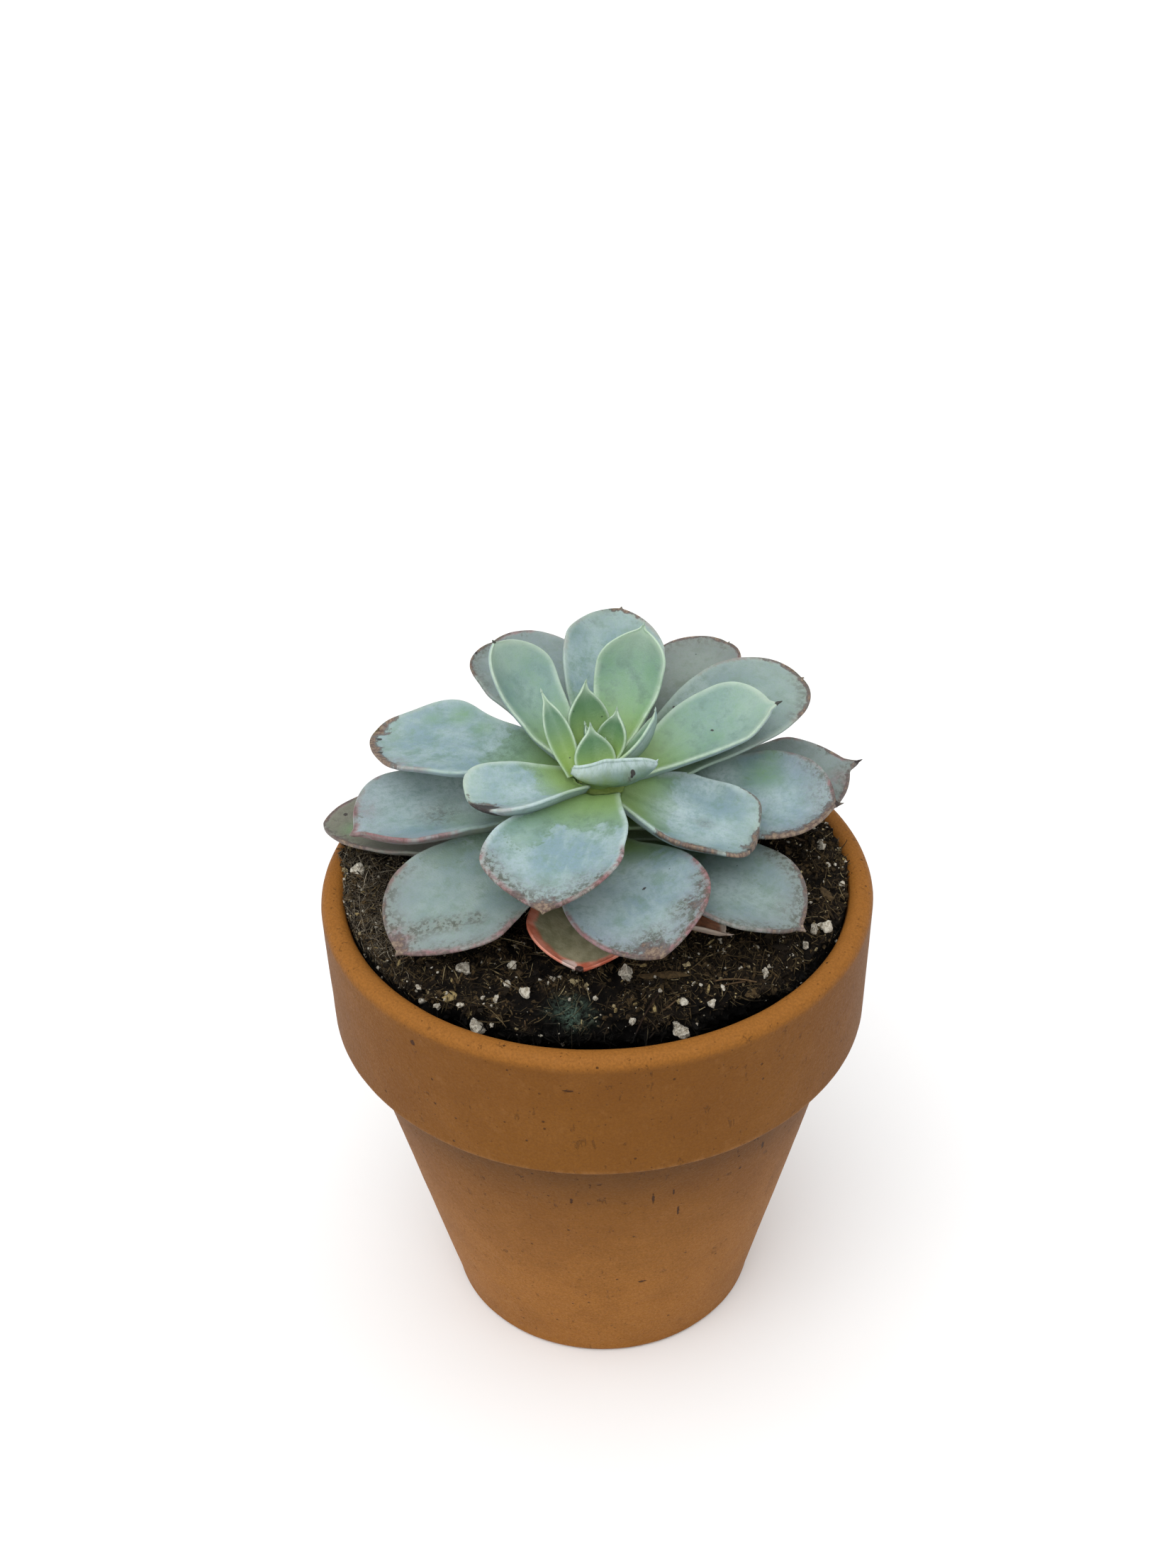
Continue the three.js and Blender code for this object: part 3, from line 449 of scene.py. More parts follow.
def leaf_skin(form, step, seed):
    """Points, faces and values of one leaf: hollowed above, full below, round-edged."""
    length = midline(form, np.array([0.0, 1.0]))[3]
    u = stations(form, length, step)
    tall = u[:, None]
    place, across, face, _ = midline(form, u)
    share = outline(form, u)[:, None]
    half = np.maximum(form["width"] / 2 * share, 0.12)
    slim = 1 - 0.6 * np.clip((tall - 0.55) / 0.45, 0, 1) ** 1.6
    deep = form["thick"] * (0.75 + 0.25 * np.sin(math.pi * tall)) * slim
    edge = np.minimum(LEAF_EDGE / 2, 0.55 * half)
    belly = np.maximum(deep - 2 * edge, 0) * np.clip(share / 0.35, 0, 1)
    full = np.clip(half / 3, 0, 1)

    # Once round the leaf: its upper face, right edge, lower face and left edge.
    flat = np.sin(np.linspace(-1, 1, max(int(form["width"] / step), 12)) * math.pi / 2)
    turn = np.linspace(0, math.pi, 6)[1:-1]
    one, none = np.ones(len(turn)), 0 * flat
    v = np.concatenate([flat, one, flat[::-1], -one])
    arc = np.concatenate([none, turn, none + math.pi, turn + math.pi])
    lower = smooth(0.5, 2.4, turn)
    under = np.concatenate([none, lower, none + 1, lower[::-1]])
    below = under > 0.99
    round_off = np.concatenate([none, np.sin(turn), none, -np.sin(turn)])

    bumps = np.exp(-(((tall - WIDENED_AT) / 0.15) ** 2)) * full
    left, right = (bumps @ form[way] for way in ("left", "right"))
    wider = np.where(v < 0, left[:, None], right[:, None])
    side = (half + wider - edge) * v + edge * round_off
    curled = np.where(v < 0, *form["curl"]) * smooth(0.35, 1.15, np.abs(v))
    height = share * (form["cup"] * v**2 + curled) - edge * (1 - np.cos(arc))
    height -= np.where(below, belly * np.clip(1 - v**2, 0, 1) ** 0.62, 0)

    at = np.stack([side, np.broadcast_to(tall * length, side.shape),
                   np.full(side.shape, seed * 37.0)], -1)
    margin = np.abs(v) ** 3
    swell = rough(at * [1, 0.6, 1], 9, 2, seed) * 0.28 * np.clip(half / 8, 0, 1)
    sway = rough(at * [0.15, 1, 1], 8, 2, seed + 5) * form["wave"] * margin
    crease = np.where(below, 0, -0.22 * np.exp(-((side / 0.9) ** 2)) * smooth(0, 0.3, 1 - tall))
    height = height + (swell + sway + crease) * full
    wander = rough(at * [0.1, 1, 1] + 50, 5, 3, seed + 9) * 0.45 * form["wave"]
    side = side + wander * np.sign(v) * margin * np.clip(half / 4, 0, 1)

    points = place[:, None] + across[:, None] * side[..., None] + face[:, None] * height[..., None]
    rims = {-1: side.min(1), 1: side.max(1)}
    gaps = {way: distance_to(at, rim, u * length) for way, rim in rims.items()}
    values = {"leaf_at": at, "along": tall, "under": under,
              "rim": np.minimum(gaps[-1], gaps[1]) * (1 - round_off**2 * 0.9)}
    for kind in MARKS:
        masks = [mark_at(mark, at, u, length, rims, gaps) for mark in form[kind]]
        values[kind] = np.maximum.reduce([np.zeros(side.shape), *masks])
    for key in ("youth", "blush", "bloom", "shed", "aged"):
        values[key] = form[key]
    for key, value in values.items():
        if key != "leaf_at":
            value = np.broadcast_to(np.asarray(value, float), side.shape)
        values[key] = with_ends(value)
    points, faces = with_ends(points), flipped(skin_faces(len(u), len(v)))
    if form["point"]:
        end = np.searchsorted(u, 0.965) if form["point_at"] else len(u) - 1
        root = place[end] + across[end] * form["point_at"] * half[end]
        axes = (unit(place[-1] - place[-4]), across[-1], face[-1])
        points, faces, values = with_point(form, points, faces, values, root, axes)
    return points, faces, values


def with_point(form, points, faces, values, root, axes):
    """The skin with a small hard tip that tapers and curls up from its root."""
    rows, sides, size = 12, 14, form["point"]
    ahead, across, face = axes
    ring = circle(sides) * [1, 0.8] @ [across, face]
    rings = []
    for t in np.linspace(0, 1, rows):
        centre = root + ahead * ((0.5 + size) * t - 0.5) + face * size * 0.5 * t * t
        centre = centre + across * size * 0.35 * math.sin(form["width"]) * t * t
        rings.append(centre + (min(0.36, 0.2 + size * 0.2) * (1 - t) ** 0.7 + 0.03) * ring)
    tip = with_ends(np.array(rings))
    for key, value in values.items():
        added = np.repeat(value[-1:], len(tip), 0)
        added[:] = {"along": 1, "rim": 0, "scar": form["tarry"]}.get(key, added)
        values[key] = np.concatenate([value, added])
    return np.concatenate([points, tip]), faces + skin_faces(rows, sides, len(points)), values


# ---------------------------------------------------------------- shader nodes
class Value:
    """What a node gives out. Sums and products of values are nodes of their own."""

    def __init__(self, shader, socket):
        self.shader, self.socket = shader, socket

    def __add__(self, other):
        return self.shader.math("ADD", self, other)

    def __sub__(self, other):
        return self.shader.math("SUBTRACT", self, other)

    def __mul__(self, other):
        return self.shader.math("MULTIPLY", self, other)

    def __truediv__(self, other):
        return self.shader.math("DIVIDE", self, other)


class Shader:
    """The nodes of a material or world, put together from values and numbers. Lengths are
    in mm. color is what it looks like so far, and coat lays another colour over that."""

    def __init__(self, block):
        self.block = block
        block.use_nodes = True
        self.tree = block.node_tree

    def plug(self, socket, value):
        if isinstance(value, Value):
            self.tree.links.new(value.socket, socket)
        else:
            socket.default_value = value

    def node(self, kind, inputs, out=0, **settings):
        made = self.tree.nodes.new("ShaderNode" + kind)
        for key, value in settings.items():
            setattr(made, key, value)
        for key, value in inputs.items():
            self.plug(made.inputs[key], value)
        return Value(self, made.outputs[out])

    def values(self, *names):
        """Values that the mesh has for each point."""
        return [self.node("Attribute", {}, "Fac", attribute_name=name) for name in names]

    def place(self, name=None):
        """Where a point is, in mm: from an attribute, or else in the object's frame."""
        if name:
            return self.node("Attribute", {}, "Vector", attribute_name=name)
        at = self.node("TexCoord", {}, "Object")
        return self.node("VectorMath", {0: at, 1: (1000, 1000, 1000)}, operation="MULTIPLY")

    def height(self, at):
        return self.node("SeparateXYZ", {0: at}, 2)

    def math(self, kind, a, b, clamp=False):
        return self.node("Math", {0: a, 1: b}, operation=kind, use_clamp=clamp)

    def most(self, first, *others):
        for other in others:
            first = self.math("MAXIMUM", first, other)
        return first

    def step(self, value, low, high, start=0, end=1, kind="SMOOTHSTEP"):
        """A soft step from start to end where value goes from low to high."""
        inputs = {"Value": value, "From Min": low, "From Max": high, "To Min": start, "To Max": end}
        return self.node("MapRange", inputs, interpolation_type=kind)

    def noise(self, at, size, detail=3, roughness=0.55, stretch=(1, 1, 1), shift=0):
        at = self.node("VectorMath", {0: at, 1: stretch, 2: (shift,) * 3}, operation="MULTIPLY_ADD")
        inputs = {"Vector": at, "Scale": 1 / size, "Detail": detail, "Roughness": roughness}
        return self.node("TexNoise", inputs, "Fac")

    def specks(self, at, size, radius, share, shift=0):
        """Small round spots: one in share of the cells of that size has one."""
        at = self.node("VectorMath", {0: at, 1: (shift,) * 3}, operation="ADD")
        cells = {"Vector": at, "Scale": 1 / size, "Randomness": 1}
        distance = self.node("TexVoronoi", cells, "Distance")
        drawn = self.node("SeparateColor", {0: self.node("TexVoronoi", cells, "Color")})
        spot = self.step(distance, radius / size, 0.55 * radius / size)
        return spot * self.step(drawn, 1 - share, 1 - share + 0.02)

    def mix(self, amount, a, b):
        return self.node("Mix", {0: amount, 6: a, 7: b}, 2, data_type="RGBA", clamp_factor=True)

    def coat(self, amount, color):
        self.color = self.mix(amount, self.color, color)

    def bump(self, height, depth, under=None):
        inputs = {"Height": height, "Distance": depth * MM, "Strength": 1}
        if under:
            inputs["Normal"] = under
        return self.node("Bump", inputs)

    def finish(self, roughness, normal=None, **sockets):
        surface = self.tree.nodes["Principled BSDF"].inputs
        self.plug(surface["Base Color"], self.color)
        self.plug(surface["Roughness"], roughness)
        if normal:
            self.plug(surface["Normal"], normal)
        for key, value in sockets.items():
            surface[key.replace("_", " ")].default_value = value
        return self.block


def material(name):
    return Shader(bpy.data.materials.new(name))


# ---------------------------------------------------------------- materials
FOOT_OLD, FOOT_YOUNG = srgb(108, 136, 86), srgb(140, 168, 92)
FLESH_YOUNG, FLESH_OLD, FLESH_DARK = srgb(108, 150, 102), srgb(98, 128, 104), srgb(78, 104, 84)
FLESH_BRIGHT, FLESH_BUD, AGED = srgb(110, 148, 104), srgb(72, 116, 66), srgb(112, 106, 92)
POWDER_BLUE, POWDER_PALE = srgb(122, 146, 162), srgb(154, 173, 180)
POWDER_LILAC, POWDER_GREEN = srgb(136, 142, 164), srgb(112, 142, 134)
RIM_YOUNG, RIM_GROWN = srgb(182, 202, 182), srgb(164, 180, 174)
RIM_PINK, RIM_BROWN = srgb(138, 98, 102), srgb(106, 78, 74)
UNDER_YOUNG, UNDER_OLD, UNDER_FOOT = srgb(90, 118, 86), srgb(138, 126, 120), srgb(136, 154, 104)
SPECK, SMUDGE = srgb(40, 52, 46), srgb(70, 76, 66)
SOOT, SCAR = srgb(114, 116, 106), srgb(40, 31, 31)
DRY_EDGE, DRY_TAN, DRY_BROWN = srgb(84, 72, 70), srgb(138, 120, 102), srgb(92, 74, 68)
DUST_AND_PAINTED_LIGHT = srgb(174, 192, 194)


def flesh(s, along, youth, big, middle, small):
    """Bare skin: yellow-green at the foot, then green, greyer with age and mottled."""
    s.color = s.mix(youth, FLESH_OLD, FLESH_YOUNG)
    s.coat(s.step(middle, 0.46, 0.66, 0, 0.55), FLESH_DARK)
    s.coat(s.step(small, 0.5, 0.66) * 0.3, FLESH_BRIGHT)
    s.coat(s.step(youth, 1, 1.15, 0, 0.85), FLESH_BUD)
    foot = (along + (big - 0.5) * 0.3) / (youth * 0.36 + 0.34)
    s.color = s.mix(s.step(foot, 0, 1), s.mix(youth, FOOT_OLD, FOOT_YOUNG), s.color)


def powder(s, at, along, rim, youth, blush, big, middle):
    """The colour of the bloom: cloudy blue-white, lilac near the margins of old leaves."""
    color = s.mix(s.step(big, 0.36, 0.62), POWDER_BLUE, POWDER_PALE)
    color = s.mix(s.step(middle, 0.46, 0.68, 0, 0.75), color, POWDER_GREEN)
    streak = s.noise(at, 2.2, 5, 0.65, (1, 0.3, 1), 61)
    color = s.mix(s.step(streak, 0.5, 0.68, 0, 0.55), color, POWDER_PALE)
    outer = s.step(along, 0.45, 0.9) * s.step(rim, 9, 1.5)
    color = s.mix(outer * blush * 0.85, color, POWDER_LILAC)
    return s.mix(youth * 0.3, color, POWDER_GREEN)


def margin(s, at, along, rim, under, youth, blush, middle, small):
    """A soft pale line, and a pink to red-brown one on the outer part of grown leaves."""
    reach = s.step(youth, 0.95, 1.15, 1.5, 0.85)
    line = s.step(rim, reach, 0) * s.step(middle, 0.3, 0.6, 0.4, 0.8)
    line = line * s.step(youth, 0, 0.6, 0.4, 1) * s.step(under, 0.1, 0.8, 1, 0.3)
    s.coat(line, s.mix(youth, RIM_GROWN, RIM_YOUNG))
    s.coat(s.step(along, 0.68, 0.96) * youth * 0.4, RIM_YOUNG)
    ragged = s.step(rim + (small - 0.5) * 1.8, 1.15, 0.35)
    patches = s.step(s.noise(at, 6, 4, shift=41), 0.4, 0.6, 0.2, 1)
    red = ragged * patches * s.step(along, 0.48, 0.8)
    rosy = s.mix(s.step(s.noise(at, 2.6, 4, 0.6, shift=3), 0.4, 0.6), RIM_PINK, RIM_BROWN)
    s.coat(red * s.math("MULTIPLY", blush, 1.3, clamp=True), rosy)


def leaf_marks(s, at, rim, small):
    """Marks of single leaves: white dust and painted light, soot, rosy and green patches, dried
    skin, scars.
    """
    dry, scar, green, pink, soot, pale = s.values("dry", "scar", "green", "pink", "soot", "pale")
    # Pale marks: partly white dust, partly painted light on faces that lie in the shade of leaves
    # above.
    s.coat(pale * s.step(small, 0.34, 0.6, 0.35, 0.85), DUST_AND_PAINTED_LIGHT)
    grit = s.noise(at, 0.8, 5, 0.72, shift=37)
    s.coat(soot * s.step(small, 0.3, 0.6, 0.2, 0.65), SOOT)
    s.coat(soot * s.step(small * 0.4 + grit * 0.6, 0.475, 0.55, 0, 0.9), SMUDGE)
    patches = s.step(s.noise(at, 2.4, 5, 0.65, shift=83), 0.4, 0.58, 0.2, 0.9)
    s.coat(pink * patches, s.mix(s.step(grit, 0.45, 0.58), RIM_PINK, RIM_BROWN))
    s.coat(green * s.step(small, 0.35, 0.6, 0.45, 0.85), FLESH_BRIGHT)
    uneven = (s.noise(at, 1.8, 6, 0.7, shift=5) - 0.5) * 2
    parched = dry * (s.step(rim, 0, 2.2, 0.12, -0.1) + 0.62) + uneven * s.step(dry, 0, 0.3)
    s.coat(s.step(parched, 0.26, 0.44, 0, 0.75), DRY_EDGE)
    tan = s.mix(s.step(s.noise(at, 0.8, 4, 0.65, shift=53), 0.38, 0.62), DRY_TAN, DRY_BROWN)
    s.coat(s.step(parched, 0.5, 0.75), tan)
    s.coat(s.step(scar + uneven * 0.35, 0.36, 0.55) * 0.92, SCAR)


def leaf_material(name="leaf_skin"):
    s = material(name)
    at = s.place("leaf_at")
    along, rim, under, rub, shed = s.values("along", "rim", "under", "rub", "shed")
    youth, blush, bloom, aged, dry = s.values("youth", "blush", "bloom", "aged", "dry")
    big = s.noise(at, 11, 4)
    middle = s.noise(at, 3, 5, 0.64, shift=7)
    torn = s.noise(at, 5.5, 7, 0.64, (1, 0.8, 1), 17)
    small = s.noise(at, 1.1, 5, 0.68, shift=29)
    fine = s.noise(at, 0.32, 3, 0.6)
    flesh(s, along, youth, big, middle, small)

    # Bloom: a thin blue veil nearly all over, and thick powder beyond a torn line.
    worn = rub * s.step(small, 0.3, 0.7, 0.15, 0.75)
    beyond = along + (torn - 0.5) * 0.6 - shed - worn
    thick = s.step(beyond, -0.04, 0.08)
    veil = s.step(along - youth * 0.12, 0.06, 0.6) * s.step(middle, 0.3, 0.65, 0.6, 0.95)
    cover = s.most(veil * 0.85, thick * s.step(small, 0.3, 0.6, 0.7, 0.97))
    cover = cover * bloom * s.step(fine, 0.25, 0.6, 0.72, 1)
    s.coat(cover, powder(s, at, along, rim, youth, blush, big, middle))
    s.coat(aged * s.step(small, 0.3, 0.7, 0.75, 1), AGED)
    crest = s.step(beyond, -0.12, -0.02) * s.step(beyond, 0.04, 0)
    s.coat(crest * s.step(small, 0.45, 0.6) * 0.4, FLESH_DARK)

    # Dark specks, and soot-like smudges near the outer margin.
    s.coat(s.specks(at, 2.8, 0.22, 0.12) * 0.7, SPECK)
    smudge = s.step(small, 0.52, 0.62) * s.step(s.noise(at, 4.5, shift=11), 0.44, 0.6)
    smudge = smudge * s.step(rim, 4.5, 0.6) * s.step(along, 0.45, 0.8)
    s.coat(smudge * blush, SMUDGE)
    margin(s, at, along, rim, under, youth, blush, middle, small)

    # Underside: pale green near the foot and the margin, dull mauve on the oldest leaves.
    lower = s.mix(s.step(blush, 0.2, 0.8), UNDER_YOUNG, UNDER_OLD)
    lower = s.mix(s.step(along, 0.15, 0.6, 0.8, 0), lower, UNDER_FOOT)
    lower = s.mix(s.step(middle, 0.42, 0.66) * 0.35, lower, POWDER_BLUE)
    dusted = s.step(rim, 3.2, 0.9) * bloom * s.step(blush, 0.6, 0.1, 0.15, 0.9)
    lower = s.mix(dusted, lower, POWDER_PALE)
    s.coat(s.step(under, 0.2, 0.9) * 0.92, lower)
    leaf_marks(s, at, rim, small)

    relief = fine * 0.3 + (small * 0.6 + thick * 0.15) + dry * (small * 1.5)
    gloss = s.step(cover, 0, 1, 0.42, 0.6)
    return s.finish(gloss, s.bump(relief, 0.18), Subsurface_Weight=0.14, Subsurface_Scale=MM,
                    Subsurface_Radius=(0.8, 1.2, 0.5), Specular_IOR_Level=0.4)


def old_leaf_material():
    s = material("old_leaf_skin")
    at = s.place("leaf_at")
    along, rim, under, rub, scar = s.values("along", "rim", "under", "rub", "scar")
    middle = s.noise(at, 2.4, 5, 0.6)
    uneven = middle - 0.5
    s.color = s.mix(s.step(middle, 0.35, 0.65), srgb(128, 126, 98), srgb(158, 152, 124))
    s.coat(s.step(along, 0, 0.4, 0.8, 0), srgb(92, 104, 58))
    patches = s.step(s.noise(at, 3, 4, shift=4), 0.4, 0.65)
    red = s.mix(patches, srgb(190, 100, 74), srgb(222, 146, 124))
    s.coat(s.step(rim + uneven * 1.4, 2.3, 1.3), red)
    s.coat(under * 0.9, red)
    s.coat(s.step(rub + uneven * 0.8, 0.45, 0.6) * 0.85, srgb(222, 200, 190))
    s.coat(s.step(scar + uneven * 0.6, 0.4, 0.55), srgb(60, 44, 40))
    relief = s.bump(s.noise(at, 0.5, 3, 0.6) * 0.4 + middle, 0.2)
    return s.finish(0.5, relief, Subsurface_Weight=0.15, Subsurface_Radius=(1.4, 0.7, 0.4),
                    Subsurface_Scale=MM)


def dry_leaf_material():
    s = material("dry_leaf_skin")
    at = s.place("leaf_at")
    along, rim = s.values("along", "rim")
    streak = s.noise(at, 1.6, 5, 0.65, (1, 0.3, 1))
    middle = s.noise(at, 3, 4, 0.6)
    s.color = s.mix(s.step(streak, 0.35, 0.62), srgb(122, 64, 38), srgb(192, 124, 84))
    s.coat(s.step(middle, 0.52, 0.66), srgb(118, 76, 52))
    edge, end = s.step(rim, 1.1, 0.4) * 0.85, s.step(along, 0.7, 0.95) * 0.2
    s.coat(s.most(edge, end), srgb(190, 178, 164))
    return s.finish(0.75, s.bump(streak + middle, 0.5))


def stem_material():
    s = material("stem_skin")
    at = s.place()
    middle = s.noise(at, 2.5, 5, 0.65)
    rings = s.noise(at, 1.2, 3, 0.6, (0.25, 0.25, 1))
    s.color = s.mix(s.step(middle, 0.35, 0.65), srgb(116, 138, 62), srgb(134, 156, 74))
    woody = s.step(s.height(at) + middle * 6, 114, 106)
    s.coat(woody, srgb(104, 84, 58))
    s.coat(s.step(rings, 0.5, 0.62) * (woody * 0.35 + 0.15), srgb(74, 72, 42))
    return s.finish(0.65, s.bump(rings + middle, 0.4))


def nicks(s, at):
    """The nicks that show most, each a ragged dent."""
    ragged = (s.noise(at, 0.7, 4, 0.7) - 0.5) * 2.2
    dents = []
    for place, half_width, half_height in NICKS:
        offset = s.node("VectorMath", {0: at, 1: place}, operation="SUBTRACT")
        sizes = {0: offset, 1: (1 / half_width, 0.6, 1 / half_height)}
        offset = s.node("VectorMath", sizes, operation="MULTIPLY")
        reach = s.node("VectorMath", {0: offset}, "Value", operation="LENGTH")
        dents.append(s.step(reach + ragged, 1, 0.75))
    return s.most(*dents)


def terracotta_material():
    s = material("fired_clay")
    at = s.place()
    height = s.height(at)
    cloud = s.noise(at, 38, 4)
    blotch = s.noise(at, 9, 5, 0.6, shift=13)
    sand = s.noise(at, 0.45, 4, 0.7)
    dust = s.noise(at, 1.6, 4, 0.65, (1, 1, 0.6))
    s.color = s.mix(s.step(cloud, 0.35, 0.65), srgb(114, 70, 20), srgb(121, 76, 22))
    s.coat(s.step(blotch, 0.45, 0.7) * 0.3, srgb(134, 88, 38))
    # Painted light: the lower body is lighter towards the floor, standing in for light thrown up
    # from it.
    lower = s.step(height, 70, 14) * s.step(blotch, 0.3, 0.6, 0.7, 1)
    s.coat(lower * 0.8, srgb(164, 108, 46))
    # Painted highlight: the top of the lip is lighter.
    s.coat(s.step(height, 101, 103.2) * 0.7, srgb(158, 103, 44))
    s.coat(s.step(sand, 0.3, 0.7, 0, 0.45), srgb(94, 58, 24))
    s.coat(s.step(dust, 0.56, 0.7) * 0.07, srgb(166, 122, 76))

    # Painted shade below the collar, and a painted highlight along the edge of its foot.
    shade = s.step(height, 54, 74) * s.step(height, 75.2, 74.8)
    s.coat(shade * s.step(dust, 0.2, 0.7, 0.5, 0.75), srgb(74, 48, 22))
    edge = s.step(height, 74.6, 75.2) * s.step(height, 76.6, 75.6)
    s.coat(edge * s.step(dust, 0.4, 0.6, 0, 0.3), srgb(156, 110, 62))

    # Pits, grit, hair cracks and nicks.
    pits = s.specks(at, 3.4, 0.3, 0.35)
    s.coat(pits * 0.7, srgb(58, 34, 16))
    grit = s.specks(at, 1.5, 0.16, 0.5, shift=31)
    s.coat(grit * 0.45, srgb(70, 42, 20))
    upright = s.noise(at, 3.6, 4, 0.6, (1, 1, 0.3), 47)
    line = s.step(s.math("ABSOLUTE", upright - 0.5, 0), 0.02, 0.008)
    rare = s.step(s.noise(at, 3.4, 4, 0.65, shift=23), 0.59, 0.64)
    torn = s.most(line * rare * (shade * 0.5 + 0.35), nicks(s, at))
    s.coat(torn * 0.85, srgb(50, 27, 13))
    # Painted shade: the inner wall is darker.
    s.coat(s.values("inside")[0] * 0.6, srgb(60, 35, 16))
    relief = s.bump(sand * 0.5 + blotch * 0.9, 0.17)
    relief = s.bump(s.noise(at, 1.7, 4, 0.6, shift=91), 0.16, relief)
    relief = s.bump(s.math("SUBTRACT", 1, s.most(pits, torn, grit)), 0.3, relief)
    return s.finish(s.step(sand, 0.3, 0.7, 0.5, 0.66), relief, Specular_IOR_Level=0.1)


def painted_depth_shade(s, at):
    """Painted shade: nearly black where the mix lies deep in the pot."""
    deep = s.height(at) + (s.noise(at, 5, 4, shift=71) - 0.5) * 5
    s.coat(s.step(deep, 102.4, 100.2, 0, 0.97), srgb(5, 4, 3))


def peat_material():
    s = material("peat")
    at = s.place()
    hollow, algae = s.values("hollow", "algae")
    crumb = s.noise(at, 0.9, 5, 0.72)
    s.color = s.mix(s.step(crumb, 0.4, 0.68), srgb(13, 10, 7), srgb(60, 48, 33))
    s.coat(s.step(s.noise(at, 9, 4, 0.6, shift=3), 0.42, 0.66) * 0.6, srgb(20, 15, 11))
    # Painted shade in the hollows between the clods.
    s.coat(hollow * 0.85, srgb(9, 7, 6))
    s.coat(algae * s.step(crumb, 0.4, 0.6), srgb(96, 122, 108))
    painted_depth_shade(s, at)
    return s.finish(0.95, s.bump(crumb, 1), Specular_IOR_Level=0.15)


def litter_material(name, dark, light, straw):
    """Loose bits, each of a colour of its own by its tint."""
    s = material(name)
    at = s.place()
    tint, algae = s.values("tint", "algae")
    worn = s.noise(at, 0.7, 4, 0.68)
    s.color = s.mix(s.step(tint, 0.1, 0.85), srgb(*dark), srgb(*light))
    s.coat(s.step(tint, 0.9, 0.97), srgb(*straw))
    s.coat(s.step(worn, 0.35, 0.65, 0.6, 0), srgb(*dark))
    s.coat(algae * s.step(worn, 0.4, 0.6, 0.2, 0.9), srgb(112, 140, 124))
    painted_depth_shade(s, at)
    return s.finish(0.9, s.bump(worn, 0.4), Specular_IOR_Level=0.2)


def perlite_material():
    s = material("perlite")
    at = s.place()
    foam = s.noise(at, 0.6, 5, 0.75)
    dirt = s.step(s.noise(at, 1.6, 4, 0.7, shift=9), 0.5, 0.64)
    s.color = s.mix(s.step(foam, 0.36, 0.58), srgb(176, 164, 142), srgb(238, 232, 216))
    s.coat((dirt + s.values("tint")[0] * 0.3) * 0.7, srgb(92, 80, 58))
    return s.finish(0.85, s.bump(foam, 0.8), Subsurface_Weight=0.1, Subsurface_Scale=MM,
                    Subsurface_Radius=(0.5, 0.5, 0.5))


def floor_material():
    s = material("studio_floor")
    s.color = s.mix(s.noise(s.place(), 180), (0.88, 0.88, 0.88, 1), (0.9, 0.9, 0.9, 1))
    return s.finish(0.85, Specular_IOR_Level=0.2)


# ---------------------------------------------------------------- pot
def path(start, *stretches):
    """Points from start on. A stretch is how many points it gets and the place where it
    ends, with a place that bends it in between if it is a curve."""
    points, at = [], np.array(start, float)
    for count, *ends in stretches:
        t = np.linspace(0, 1, count + 1)[:-1, None]
        ends = np.array(ends, float)
        if len(ends) == 1:
            points.append(at + (ends[0] - at) * t)
        else:
            points.append(at * (1 - t) ** 2 + ends[0] * 2 * t * (1 - t) + ends[1] * t**2)
        at = ends[-1]
    return np.concatenate(points)


def pot_profile():
    """The section of the pot's wall, out and up from the drain hole and back inside."""
    quarter = np.linspace(0, math.pi / 2, 14)[:-1]
    lip = [np.stack([x + LIP_ROUND * np.cos(turn), LIP_FOOT + LIP_ROUND * np.sin(turn)], -1)
           for x, turn in ((POT_RADIUS - LIP_ROUND, quarter),
                           (MOUTH_RADIUS + LIP_ROUND, quarter + math.pi / 2))]
    return np.concatenate([
        path((DRAIN_RADIUS, DRAIN_BEVEL),
             (2, (DRAIN_RADIUS + DRAIN_BEVEL, 0)),
             (15, (BASE_RADIUS - EDGE_ROUND, 0)),
             (7, (BASE_RADIUS, 0), (BASE_RADIUS, EDGE_ROUND)),
             (59, (BODY_TOP - 0.2, COLLAR_FOOT - 0.8)),
             (5, (BODY_TOP, COLLAR_FOOT), (BODY_TOP + 0.8, COLLAR_FOOT)),
             (5, (COLLAR_LOW - COLLAR_ROUND, COLLAR_FOOT)),
             (7, (COLLAR_LOW, COLLAR_FOOT), (COLLAR_LOW, COLLAR_FOOT + COLLAR_ROUND)),
             (29, (POT_RADIUS, LIP_FOOT))),
        *lip,
        path((MOUTH_RADIUS, LIP_FOOT),
             (23, (BODY_TOP - WALL, COLLAR_FOOT)),
             (39, (FLOOR_RADIUS, FLOOR)),
             (13, (DRAIN_RADIUS, FLOOR)),
             (5, (DRAIN_RADIUS, DRAIN_BEVEL))),
    ])


def pot():
    """The pot as thrown: a turned section that wanders a little round its circle."""
    sides, inner = 220, 84
    radius, z = pot_profile().T[..., None]
    count = len(radius)
    spot = np.concatenate([circle(sides)[:, None] * radius,
                           np.broadcast_to(z, (sides, count, 1))], -1)
    wobble = rough(spot * [1, 1, 0.5], 34, 2, 3) * 0.22 + rough(spot, 6, 3, 8) * 0.07
    height = rough(spot * [1, 1, 0], 22, 2, 21) * 0.18 * smooth(90, 104, spot[..., 2])
    spot[..., :2] *= 1 + wobble[..., None] / np.maximum(radius, 20)
    spot[..., 2] += height
    i, j = np.meshgrid(np.arange(sides), np.arange(count), indexing="ij")
    row, after, up = i * count, (i + 1) % sides * count, (j + 1) % count
    faces = np.stack([row + j, after + j, after + up, row + up], -1).reshape(-1, 4).tolist()
    inside = np.tile(np.arange(count) >= count - inner, sides)
    return solid("pot_clay", spot.reshape(-1, 3), faces, terracotta_material(),
                 {"inside": inside}, ["pot"])


